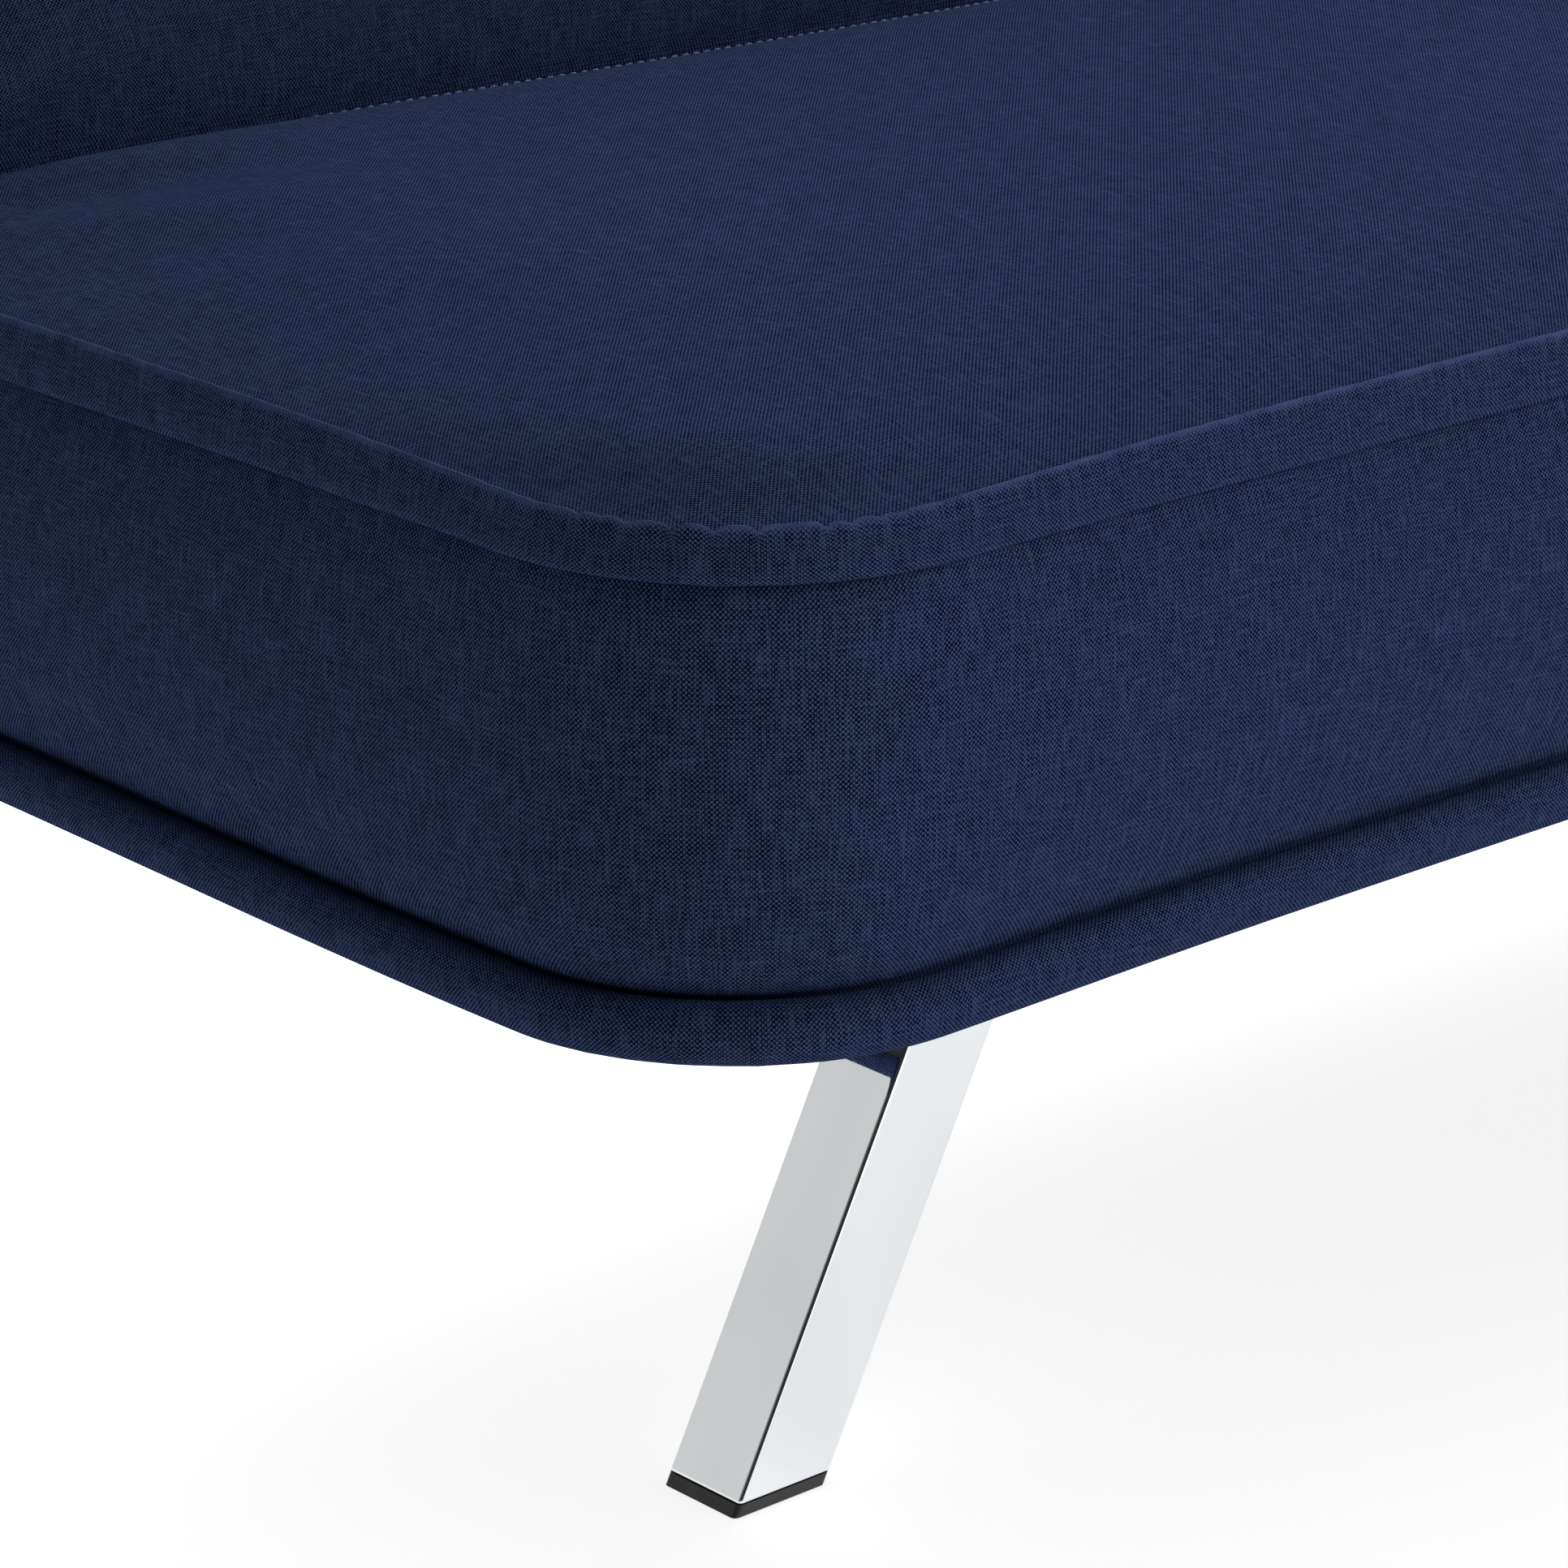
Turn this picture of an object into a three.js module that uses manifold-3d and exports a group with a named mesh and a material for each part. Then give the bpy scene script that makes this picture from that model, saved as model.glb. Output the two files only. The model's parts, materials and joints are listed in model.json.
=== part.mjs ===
// Armless click-clack sofa bed: a seat pad and a back pad that fold about a common line,
// on a low steel base with four splayed chrome legs.
// Millimetres, +Z up, +X along the length, the sitter faces -Y. Left is -X.
// While it is being built, y = 0 is the seat's front edge; the finished group is moved so that
// its origin is the centre of the bounding box's underside.

import * as THREE from 'three';
import { mergeVertices } from 'three/addons/utils/BufferGeometryUtils.js';
import Module from 'manifold-3d';

const wasm = await Module();
wasm.setup();

// ---- Driving dimensions -------------------------------------------------------------------

const GAP = 0.3; // clearance between pieces that touch

// Pads
const WIDTH = 1680;
const SEAT_DEPTH = 500; // front edge to fold line
const SEAT_TOP = 382; // floor to the seat's top edge
const SEAT_THICKNESS = 155;
const BACK_LENGTH = 440; // fold line to the back's top edge
const BACK_THICKNESS = 130;
const RECLINE = THREE.MathUtils.degToRad(33); // back's lean from upright at rest
const PIVOT_DEPTH = 50; // fold line to the recline pivot, along the bisector
const FOLD_GAP = 3; // pivot plane to each pad's fold wall
const OUTER_RADIUS = 90; // plan corners at the front of the seat and the top of the back
const FOLD_RADIUS = 30; // plan corners at the fold
const COVER_WALL = 2.5; // cover fabric with its wadding
const DUST_COVER = 2;

// Pad frames, of round steel tube
const TUBE_RADIUS = 12.5;
const TUBE_WALL = 1.5;
const TUBE_SIDES = 12; // a multiple of four, so that tubes are full size along X, Y and Z
const TUBE_CLEARANCE = 2; // tube to dust cover
const SEAM_ROOM = 12; // tube to cover wall, where the welts' seams sink in
const TUBE_END = 30; // straight run past each bend of the outer tube
const FOLD_TUBE_INSET = 32; // pivot plane to the centre of the tube by the fold
const SPRING_ROOM = 5; // tube top to foam
const SPRING_WIRE_RADIUS = 1.8;
const SPRING_SWING = 24;
const SPRING_WAVES = 7;
const SPRING_SPACING = 270;
const SPRINGS_PER_SIDE = 2;

// Base frame, of square steel tube
const STOP_HEIGHT = 5; // base frame to the underside of the pads
const BACK_ROOM = 20; // least height of the flat back's underside above the seat's
const RAIL = 32;
const RAIL_WALL = 2;
const RAIL_SPREAD = 584.5; // middle of the sofa to the centre of each side rail
const RAIL_FRONT = 132; // seat's front edge to the front end of the side rails
const RAIL_REAR = 745;
const STOP_RADIUS = 14;
const STOP_SPREAD = 300;

// Legs
const LEG_TUBE = 35;
const LEG_WALL = 1.8;
const LEG_CORNER = 2;
const LEG_SPLAY = THREE.MathUtils.degToRad(27.3);
const FRONT_LEG = 169.5; // seat's front edge to the centre of the front legs
const REAR_LEG = 707.5;
const FOOT_CAP = 4;
const FOOT_PLUG = 16;
const LEG_PLATE = { x: 60, y: 92, z: 4 };
const LEG_PLATE_CORNER = 8;
const BOLT_RADIUS = 4;
const BOLT_CLEARANCE = 0.5;
const BOLT_LENGTH = 18;
const BOLT_HEAD = { radius: 6.5, height: 5 };
const BOLT_SPREAD = 30; // leg's centre to each bolt, front and rear

// Folding mechanism, one set at each end
const PLATE = 5;
const WHEEL_THICKNESS = 7;
const TILT_PIVOT_Y = 690;
const TILT_PIVOT_RISE = 3; // base frame to the tilt pivot
const TILT_EYE = 16;
const RECLINE_EYE = 20;
const ARM_BAR = 10; // least height of the seat hinge arm's rear bar
const SADDLE_LIP = 1.5; // plate left below a tube that it sits on
const PIN_RADIUS = 6;
const PIN_HEAD = { radius: 11, height: 4 };
const WHEEL_RADIUS = 26;
const TOOTH = 5;
const TOOTH_COUNT = 6;
const TOOTH_PITCH = THREE.MathUtils.degToRad(12.5);
const PAWL_EYE = 8;
const SLOT_RADIUS = 36; // room for the ratchet wheel in the pads
const SLOT_DEPTH = 26; // room for the hinge arms in the pads
const SLOT_SIDE = 2;

// ---- Sizes that follow --------------------------------------------------------------------

const FOLD_ANGLE = Math.PI / 2 - RECLINE; // back's turn from flat to rest
const BEVEL = FOLD_ANGLE / 2;
const PIVOT = {
  y: SEAT_DEPTH + PIVOT_DEPTH * Math.sin(BEVEL),
  z: SEAT_TOP - PIVOT_DEPTH * Math.cos(BEVEL),
};
const PAD_TOP = SEAT_TOP - PIVOT.z; // pad surface above the pivot, the same on both pads
// Each pad's reach from the pivot plane, its underside, and which way along its own X is left.
const SEAT_PAD = { length: PIVOT.y, bottom: PAD_TOP - SEAT_THICKNESS, leftward: 1 };
const BACK_PAD = {
  length: BACK_LENGTH + PIVOT.y - SEAT_DEPTH, bottom: PAD_TOP - BACK_THICKNESS, leftward: -1,
};
const BASE_TOP = SEAT_TOP - Math.max(SEAT_THICKNESS, BACK_THICKNESS + BACK_ROOM) - STOP_HEIGHT;
const TILT_PIVOT = { y: TILT_PIVOT_Y, z: BASE_TOP + TILT_PIVOT_RISE };
const LEG_TOP = BASE_TOP - RAIL - GAP - LEG_PLATE.z;
const ARM_START = RAIL_SPREAD + RAIL / 2 + PLATE + 2 * GAP; // inner face of the seat hinge arm
const WHEEL_START = ARM_START + PLATE + GAP;
const BACK_ARM_START = WHEEL_START + WHEEL_THICKNESS + GAP;
const BACK_ARM_END = BACK_ARM_START + PLATE;
const SLOT_START = ARM_START - GAP - PIN_HEAD.height - SLOT_SIDE;
const SLOT_END = BACK_ARM_END + GAP + PIN_HEAD.height + SLOT_SIDE;

// ---- Materials ----------------------------------------------------------------------------

const FINISHES = {
  fabric: { color: 0x2b3350, roughness: 0.9, metalness: 0 },
  foam: { color: 0xd8cfae, roughness: 0.95, metalness: 0 },
  dust: { color: 0x15161a, roughness: 0.95, metalness: 0 },
  steel: { color: 0x222427, roughness: 0.5, metalness: 0.4 },
  zinc: { color: 0xa8abb0, roughness: 0.35, metalness: 0.9 },
  chrome: { color: 0xe6e8ea, roughness: 0.08, metalness: 1 },
  plastic: { color: 0x121316, roughness: 0.6, metalness: 0 },
  rubber: { color: 0x1a1a1b, roughness: 0.9, metalness: 0 },
};

// ---- Geometry helpers ---------------------------------------------------------------------

// A geometry as a manifold solid, with its shared vertices merged.
function solid(geometry) {
  const bare = geometry.clone();
  bare.deleteAttribute('normal');
  bare.deleteAttribute('uv');
  const merged = mergeVertices(bare, 1e-4);
  return new wasm.Manifold(new wasm.Mesh({
    numProp: 3,
    vertProperties: new Float32Array(merged.attributes.position.array),
    triVerts: new Uint32Array(merged.index.array),
  }));
}

// A manifold solid as a geometry.
function surface(body) {
  const mesh = body.getMesh();
  const geometry = new THREE.BufferGeometry();
  geometry.setAttribute('position', new THREE.BufferAttribute(mesh.vertProperties, 3));
  geometry.setIndex(new THREE.BufferAttribute(mesh.triVerts, 1));
  geometry.computeVertexNormals();
  return geometry;
}

// A box between two corners.
function box(low, high) {
  const geometry = new THREE.BoxGeometry(high[0] - low[0], high[1] - low[1], high[2] - low[2]);
  geometry.translate((low[0] + high[0]) / 2, (low[1] + high[1]) / 2, (low[2] + high[2]) / 2);
  return geometry;
}

// A shape in the Y-Z plane, extruded along X.
function alongX(shape, start, end, curveSegments = 6) {
  const options = { depth: end - start, bevelEnabled: false, curveSegments };
  const geometry = new THREE.ExtrudeGeometry(shape, options);
  const axes = new THREE.Matrix4().makeBasis(
    new THREE.Vector3(0, 1, 0), new THREE.Vector3(0, 0, 1), new THREE.Vector3(1, 0, 0));
  return geometry.applyMatrix4(axes).translate(start, 0, 0);
}

// A shape in the X-Y plane, extruded along Z.
function alongZ(shape, start, end, curveSegments = 8) {
  const options = { depth: end - start, bevelEnabled: false, curveSegments };
  return new THREE.ExtrudeGeometry(shape, options).translate(0, 0, start);
}

// A cylinder along X whose flats, not its corners, lie at the given radius.
function boreX(radius, start, end, y, z, sides = 16) {
  const geometry = new THREE.CylinderGeometry(1, 1, end - start, sides);
  geometry.scale(radius / Math.cos(Math.PI / sides), 1, radius / Math.cos(Math.PI / sides));
  return geometry.rotateZ(Math.PI / 2).translate((start + end) / 2, y, z);
}

// A rectangle centred on the origin, with round corners.
function roundedRect(sizeX, sizeY, radius) {
  const x = sizeX / 2;
  const y = sizeY / 2;
  const shape = new THREE.Shape();
  shape.absarc(x - radius, y - radius, radius, 0, Math.PI / 2);
  shape.absarc(radius - x, y - radius, radius, Math.PI / 2, Math.PI);
  shape.absarc(radius - x, radius - y, radius, Math.PI, 1.5 * Math.PI);
  shape.absarc(x - radius, radius - y, radius, 1.5 * Math.PI, 2 * Math.PI);
  return shape;
}

// A path through given points, sampled at exactly those points.
class PointPath extends THREE.Curve {
  constructor(points) {
    super();
    this.points = points;
  }

  getPoint(t, target = new THREE.Vector3()) {
    const last = this.points.length - 1;
    const place = THREE.MathUtils.clamp(t, 0, 1) * last;
    const index = Math.min(Math.floor(place), last - 1);
    return target.lerpVectors(this.points[index], this.points[index + 1], place - index);
  }

  getUtoTmapping(u) {
    return u;
  }
}

// The corners of a regular polygon.
function polygon(radius, sides) {
  const corners = [];
  for (let side = 0; side < sides; side += 1) {
    const angle = (2 * Math.PI * side) / sides;
    corners.push(new THREE.Vector2(radius * Math.cos(angle), radius * Math.sin(angle)));
  }
  return corners;
}

// A round bar along a list of points, or a tube open at both ends if a wall is given.
function barAlong(points, radius, sides, wall = 0) {
  const section = new THREE.Shape(polygon(radius, sides));
  if (wall > 0) section.holes.push(new THREE.Path(polygon(radius - wall, sides)));
  return new THREE.ExtrudeGeometry(section, {
    extrudePath: new PointPath(points), steps: points.length - 1, bevelEnabled: false,
  });
}

// A named mesh with a finish of its own.
function part(name, geometry, finish) {
  const mesh = new THREE.Mesh(geometry, new THREE.MeshStandardMaterial(FINISHES[finish]));
  mesh.name = name;
  return mesh;
}

function group(...children) {
  const made = new THREE.Group();
  made.add(...children);
  return made;
}

// ---- Pads ---------------------------------------------------------------------------------
// A pad lies flat in its own frame: the origin is on the recline pivot, +Y runs from the fold to
// the outer edge, and the surface that is sat on or leant on is at z = PAD_TOP.

// The pad's side view, set in from its outside by a wall.
function padProfile(pad, inset, bottom) {
  const foldWall = FOLD_GAP + inset;
  const bevelShift = inset / Math.cos(BEVEL);
  const bevelFoot = (inset - bevelShift) / Math.tan(BEVEL);
  const top = PAD_TOP - inset;
  return new THREE.Shape([
    new THREE.Vector2(foldWall, bottom),
    new THREE.Vector2(pad.length - inset, bottom),
    new THREE.Vector2(pad.length - inset, top),
    new THREE.Vector2(FOLD_GAP + bevelShift + top * Math.tan(BEVEL), top),
    new THREE.Vector2(foldWall, bevelFoot),
  ]);
}

// The pad's plan view, set in from its outside by a wall.
function padPlan(pad, inset) {
  const x = WIDTH / 2 - inset;
  const near = FOLD_GAP + inset;
  const far = pad.length - inset;
  const outer = OUTER_RADIUS - inset;
  const fold = FOLD_RADIUS - inset;
  const shape = new THREE.Shape();
  shape.absarc(x - fold, near + fold, fold, -Math.PI / 2, 0);
  shape.absarc(x - outer, far - outer, outer, 0, Math.PI / 2);
  shape.absarc(outer - x, far - outer, outer, Math.PI / 2, Math.PI);
  shape.absarc(fold - x, near + fold, fold, Math.PI, 1.5 * Math.PI);
  return shape;
}

function padBlock(pad, inset, bottom) {
  const side = solid(alongX(padProfile(pad, inset, bottom), -WIDTH, WIDTH));
  const plan = solid(alongZ(padPlan(pad, inset), bottom, PAD_TOP));
  return side.intersect(plan);
}

// The room in both pads for the hinge arms and ratchet wheel at one end.
function hingeSlot(pad, side) {
  const start = side < 0 ? -SLOT_END : SLOT_START;
  const end = side < 0 ? -SLOT_START : SLOT_END;
  const wheelRoom = solid(boreX(SLOT_RADIUS, start, end, 0, 0));
  const armRoom = solid(box([start, -SLOT_DEPTH, pad.bottom - 1], [end, SLOT_DEPTH, 0]));
  return wheelRoom.add(armRoom);
}

function withSlots(body, pad) {
  return surface(body.subtract(hingeSlot(pad, -1)).subtract(hingeSlot(pad, 1)));
}

// The cover is one shell, open underneath.
function coverGeometry(pad) {
  const outside = padBlock(pad, 0, pad.bottom);
  const inside = padBlock(pad, COVER_WALL, pad.bottom - 1);
  return withSlots(outside.subtract(inside), pad);
}

function foamGeometry(pad) {
  return withSlots(padBlock(pad, COVER_WALL + GAP, tubeCentre(pad) + TUBE_RADIUS + SPRING_ROOM), pad);
}

function dustCoverGeometry(pad) {
  const plan = padPlan(pad, COVER_WALL + GAP);
  return withSlots(solid(alongZ(plan, pad.bottom, pad.bottom + DUST_COVER)), pad);
}

function tubeCentre(pad) {
  return pad.bottom + DUST_COVER + TUBE_CLEARANCE + TUBE_RADIUS;
}

// The outer tube of a pad's frame: one bend at each end, round the pad's plan corners.
function outerTubePoints(pad) {
  const inset = COVER_WALL + SEAM_ROOM + TUBE_RADIUS;
  const bend = OUTER_RADIUS - inset;
  const bendSteps = 5;
  const points = [];
  for (const side of [-1, 1]) {
    const sideX = side * (WIDTH / 2 - inset);
    const arc = [new THREE.Vector3(sideX, pad.length - OUTER_RADIUS - TUBE_END, tubeCentre(pad))];
    for (let step = 0; step <= bendSteps; step += 1) {
      const angle = (Math.PI / 2) * (step / bendSteps);
      arc.push(new THREE.Vector3(
        side * (WIDTH / 2 - OUTER_RADIUS + bend * Math.cos(angle)),
        pad.length - OUTER_RADIUS + bend * Math.sin(angle),
        tubeCentre(pad)));
    }
    points.push(...(side < 0 ? arc : arc.reverse()));
  }
  return points;
}

function frameTube(points) {
  return barAlong(points, TUBE_RADIUS, TUBE_SIDES, TUBE_WALL);
}

function straightTube(from, to) {
  return frameTube([new THREE.Vector3(...from), new THREE.Vector3(...to)]);
}

function frameParts(name, pad, outerName, foldName) {
  const z = tubeCentre(pad);
  const edge = COVER_WALL + SEAM_ROOM + TUBE_RADIUS;
  const sideX = (WIDTH / 2 - edge) * pad.leftward;
  const sideEnd = pad.length - OUTER_RADIUS - TUBE_END - GAP;
  const foldX = Math.abs(sideX) - TUBE_RADIUS - GAP;
  const foldEnd = FOLD_TUBE_INSET + TUBE_RADIUS + GAP;
  const left = straightTube([sideX, FOLD_RADIUS, z], [sideX, sideEnd, z]);
  const right = straightTube([-sideX, FOLD_RADIUS, z], [-sideX, sideEnd, z]);
  const fold = straightTube([-foldX, FOLD_TUBE_INSET, z], [foldX, FOLD_TUBE_INSET, z]);
  const brace = straightTube([0, foldEnd, z], [0, pad.length - edge - TUBE_RADIUS - GAP, z]);
  return [
    part(`${name}_frame_${outerName}`, frameTube(outerTubePoints(pad)), 'steel'),
    part(`${name}_frame_${foldName}`, fold, 'steel'),
    part(`${name}_frame_left`, left, 'steel'),
    part(`${name}_frame_right`, right, 'steel'),
    part(`${name}_frame_brace`, brace, 'steel'),
  ];
}

// A sinuous spring from the fold tube to the outer tube, lying on both.
function springGeometry(pad, x) {
  const start = FOLD_TUBE_INSET;
  const end = pad.length - COVER_WALL - SEAM_ROOM - TUBE_RADIUS;
  const z = tubeCentre(pad) + TUBE_RADIUS + GAP + SPRING_WIRE_RADIUS;
  const steps = SPRING_WAVES * 6;
  const points = [];
  for (let step = 0; step <= steps; step += 1) {
    const t = step / steps;
    const swing = SPRING_SWING * Math.sin(2 * Math.PI * SPRING_WAVES * t);
    points.push(new THREE.Vector3(x + swing, start + (end - start) * t, z));
  }
  return barAlong(points, SPRING_WIRE_RADIUS, 5);
}

function softParts(name, pad) {
  return [
    part(`${name}_cover`, coverGeometry(pad), 'fabric'),
    part(`${name}_foam`, foamGeometry(pad), 'foam'),
    part(`${name}_dust_cover`, dustCoverGeometry(pad), 'dust'),
  ];
}

function springParts(name, pad) {
  const parts = [];
  for (const side of [-1, 1]) {
    for (let place = 1; place <= SPRINGS_PER_SIDE; place += 1) {
      const x = side * place * SPRING_SPACING;
      const title = side === pad.leftward ? 'left' : 'right';
      parts.push(part(`${name}_spring_${title}_${place}`, springGeometry(pad, x), 'zinc'));
    }
  }
  return parts;
}

// ---- Folding mechanism --------------------------------------------------------------------
// Every piece is drawn for the right-hand end and mirrored for the left.

function mirrored(geometry, side) {
  if (side > 0) return geometry;
  const left = geometry.index ? geometry.toNonIndexed() : geometry.clone();
  left.scale(-1, 1, 1);
  const position = left.attributes.position;
  const swap = new THREE.Vector3();
  const other = new THREE.Vector3();
  for (let corner = 0; corner < position.count; corner += 3) {
    swap.fromBufferAttribute(position, corner + 1);
    other.fromBufferAttribute(position, corner + 2);
    position.setXYZ(corner + 1, other.x, other.y, other.z);
    position.setXYZ(corner + 2, swap.x, swap.y, swap.z);
  }
  left.computeVertexNormals();
  return left;
}

function plateX(shape, start, thickness, cuts = []) {
  let plate = solid(alongX(shape, start, start + thickness));
  for (const cut of cuts) plate = plate.subtract(solid(cut));
  return surface(plate);
}

function pinHole(start, thickness, y, z) {
  return boreX(PIN_RADIUS + GAP, start - 1, start + thickness + 1, y, z);
}

// Room for a frame tube, so that a plate sits on it like a saddle.
function tubeRoom(start, thickness, y, z) {
  return boreX(TUBE_RADIUS + GAP, start - 1, start + thickness + 1, y, z);
}

// From the seat's rear tube, up to the recline pivot and back to the tilt pivot.
function seatArmGeometry() {
  const tubeY = PIVOT.y - FOLD_TUBE_INSET;
  const tubeZ = PIVOT.z + tubeCentre(SEAT_PAD);
  const bar = TILT_PIVOT.z + TILT_EYE - ARM_BAR;
  const foot = Math.min(tubeZ - TUBE_RADIUS - SADDLE_LIP, bar);
  const shoulder = tubeZ + TUBE_RADIUS + SPRING_ROOM - 1;
  const shape = new THREE.Shape();
  shape.moveTo(tubeY + TUBE_RADIUS + 2, foot);
  shape.lineTo(PIVOT.y + 4, foot);
  shape.absarc(TILT_PIVOT.y, TILT_PIVOT.z, TILT_EYE, -Math.PI / 2, Math.PI / 2);
  shape.lineTo(PIVOT.y + RECLINE_EYE + 4, TILT_PIVOT.z + TILT_EYE);
  shape.lineTo(PIVOT.y + RECLINE_EYE - 4, TILT_PIVOT.z + TILT_EYE + 12);
  shape.absarc(PIVOT.y, PIVOT.z, RECLINE_EYE, 0, Math.PI);
  shape.lineTo(PIVOT.y - RECLINE_EYE, shoulder);
  shape.lineTo(tubeY - 4, shoulder);
  shape.lineTo(tubeY - 4, tubeZ);
  shape.lineTo(tubeY + TUBE_RADIUS + 2, tubeZ);
  return plateX(shape, ARM_START, PLATE, [
    tubeRoom(ARM_START, PLATE, tubeY, tubeZ),
    pinHole(ARM_START, PLATE, PIVOT.y, PIVOT.z),
    pinHole(ARM_START, PLATE, TILT_PIVOT.y, TILT_PIVOT.z),
  ]);
}

// From the recline pivot to the back's lower tube, in the back's own frame.
function backArmGeometry() {
  const tubeZ = tubeCentre(BACK_PAD);
  const shoulder = tubeZ + TUBE_RADIUS + SPRING_ROOM - 1;
  const shape = new THREE.Shape();
  shape.absarc(0, 0, RECLINE_EYE, 0, 1.2 * Math.PI);
  shape.lineTo(FOLD_TUBE_INSET - TUBE_RADIUS - 4, tubeZ + 2);
  shape.lineTo(FOLD_TUBE_INSET, tubeZ);
  shape.lineTo(FOLD_TUBE_INSET + TUBE_RADIUS + 6, tubeZ + 6);
  shape.lineTo(FOLD_TUBE_INSET + TUBE_RADIUS + 6, shoulder);
  shape.lineTo(RECLINE_EYE + 2, shoulder);
  return plateX(shape, BACK_ARM_START, PLATE, [
    tubeRoom(BACK_ARM_START, PLATE, FOLD_TUBE_INSET, tubeZ),
    pinHole(BACK_ARM_START, PLATE, 0, 0),
  ]);
}

// A wheel with saw teeth over the part of its rim that passes the pawl.
function ratchetWheelGeometry() {
  const shape = new THREE.Shape();
  const firstTooth = -Math.PI / 2 - FOLD_ANGLE - TOOTH_PITCH / 2;
  const lastTooth = firstTooth + TOOTH_COUNT * TOOTH_PITCH;
  shape.absarc(0, 0, WHEEL_RADIUS, lastTooth, firstTooth + 2 * Math.PI);
  for (let tooth = 0; tooth < TOOTH_COUNT; tooth += 1) {
    const start = firstTooth + tooth * TOOTH_PITCH;
    const tip = WHEEL_RADIUS + TOOTH;
    shape.lineTo(tip * Math.cos(start), tip * Math.sin(start));
    const end = start + TOOTH_PITCH * 0.9;
    shape.lineTo(WHEEL_RADIUS * Math.cos(end), WHEEL_RADIUS * Math.sin(end));
  }
  return plateX(shape, WHEEL_START, WHEEL_THICKNESS, [pinHole(WHEEL_START, WHEEL_THICKNESS, 0, 0)]);
}

// The pawl hangs below the wheel, its nose just clear of the teeth.
function pawlGeometry() {
  const nose = WHEEL_RADIUS + TOOTH + 1;
  const eye = nose + 2 * PAWL_EYE;
  const shape = new THREE.Shape();
  shape.absarc(PIVOT.y, PIVOT.z - eye, PAWL_EYE, Math.PI, 2 * Math.PI);
  shape.lineTo(PIVOT.y + PAWL_EYE / 2, PIVOT.z - nose - PAWL_EYE / 2);
  shape.lineTo(PIVOT.y - PAWL_EYE / 4, PIVOT.z - nose);
  return plateX(shape, WHEEL_START, WHEEL_THICKNESS);
}

// A pin along X from one head or flush end to the other head.
function pinGeometry(start, end, innerHead) {
  const profile = [new THREE.Vector2(0, start)];
  if (innerHead) {
    profile.push(new THREE.Vector2(PIN_HEAD.radius, start));
    profile.push(new THREE.Vector2(PIN_HEAD.radius, start + PIN_HEAD.height));
    profile.push(new THREE.Vector2(PIN_RADIUS, start + PIN_HEAD.height));
  } else {
    profile.push(new THREE.Vector2(PIN_RADIUS, start));
  }
  profile.push(new THREE.Vector2(PIN_RADIUS, end - PIN_HEAD.height));
  profile.push(new THREE.Vector2(PIN_HEAD.radius, end - PIN_HEAD.height));
  profile.push(new THREE.Vector2(PIN_HEAD.radius, end));
  profile.push(new THREE.Vector2(0, end));
  return new THREE.LatheGeometry(profile, 16).rotateZ(-Math.PI / 2);
}

function seatMechanism(side, title) {
  const reclineStart = ARM_START - GAP - PIN_HEAD.height;
  const reclineEnd = BACK_ARM_END + GAP + PIN_HEAD.height;
  const pin = pinGeometry(reclineStart, reclineEnd, true).translate(0, PIVOT.y, PIVOT.z);
  return [
    part(`seat_hinge_arm_${title}`, mirrored(seatArmGeometry(), side), 'steel'),
    part(`recline_pin_${title}`, mirrored(pin, side), 'zinc'),
    part(`ratchet_pawl_${title}`, mirrored(pawlGeometry(), side), 'zinc'),
  ];
}

function backMechanism(side, title) {
  return [
    part(`back_hinge_arm_${title}`, mirrored(backArmGeometry(), side), 'steel'),
    part(`ratchet_wheel_${title}`, mirrored(ratchetWheelGeometry(), side), 'zinc'),
  ];
}

// ---- Base ---------------------------------------------------------------------------------

// A square tube along Z, open at both ends.
function squareTube(size, wall, corner, start, end) {
  const outline = roundedRect(size, size, corner);
  const hollow = new THREE.Path(roundedRect(size - 2 * wall, size - 2 * wall, corner / 2)
    .getPoints(2));
  outline.holes.push(hollow);
  return alongZ(outline, start, end, 2);
}

function railAlongX(from, to, y) {
  return squareTube(RAIL, RAIL_WALL, 2, from, to).rotateY(Math.PI / 2)
    .translate(0, y, BASE_TOP - RAIL / 2);
}

function railAlongY(from, to) {
  return squareTube(RAIL, RAIL_WALL, 2, from, to).rotateX(-Math.PI / 2)
    .translate(0, 0, BASE_TOP - RAIL / 2);
}

function boltPlaces(legY) {
  return [legY - BOLT_SPREAD, legY + BOLT_SPREAD];
}

function verticalHole(y, radius, from, to) {
  const sides = 12;
  const geometry = new THREE.CylinderGeometry(1, 1, to - from, sides).rotateX(Math.PI / 2);
  const reach = radius / Math.cos(Math.PI / sides);
  return geometry.scale(reach, reach, 1).translate(0, y, (from + to) / 2);
}

function sideRailGeometry() {
  let rail = solid(railAlongY(RAIL_FRONT, RAIL_REAR));
  const floor = BASE_TOP - RAIL;
  for (const y of [...boltPlaces(FRONT_LEG), ...boltPlaces(REAR_LEG)]) {
    const hole = verticalHole(y, BOLT_RADIUS + BOLT_CLEARANCE, floor - 1, floor + RAIL_WALL + 1);
    rail = rail.subtract(solid(hole));
  }
  return surface(rail);
}

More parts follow.
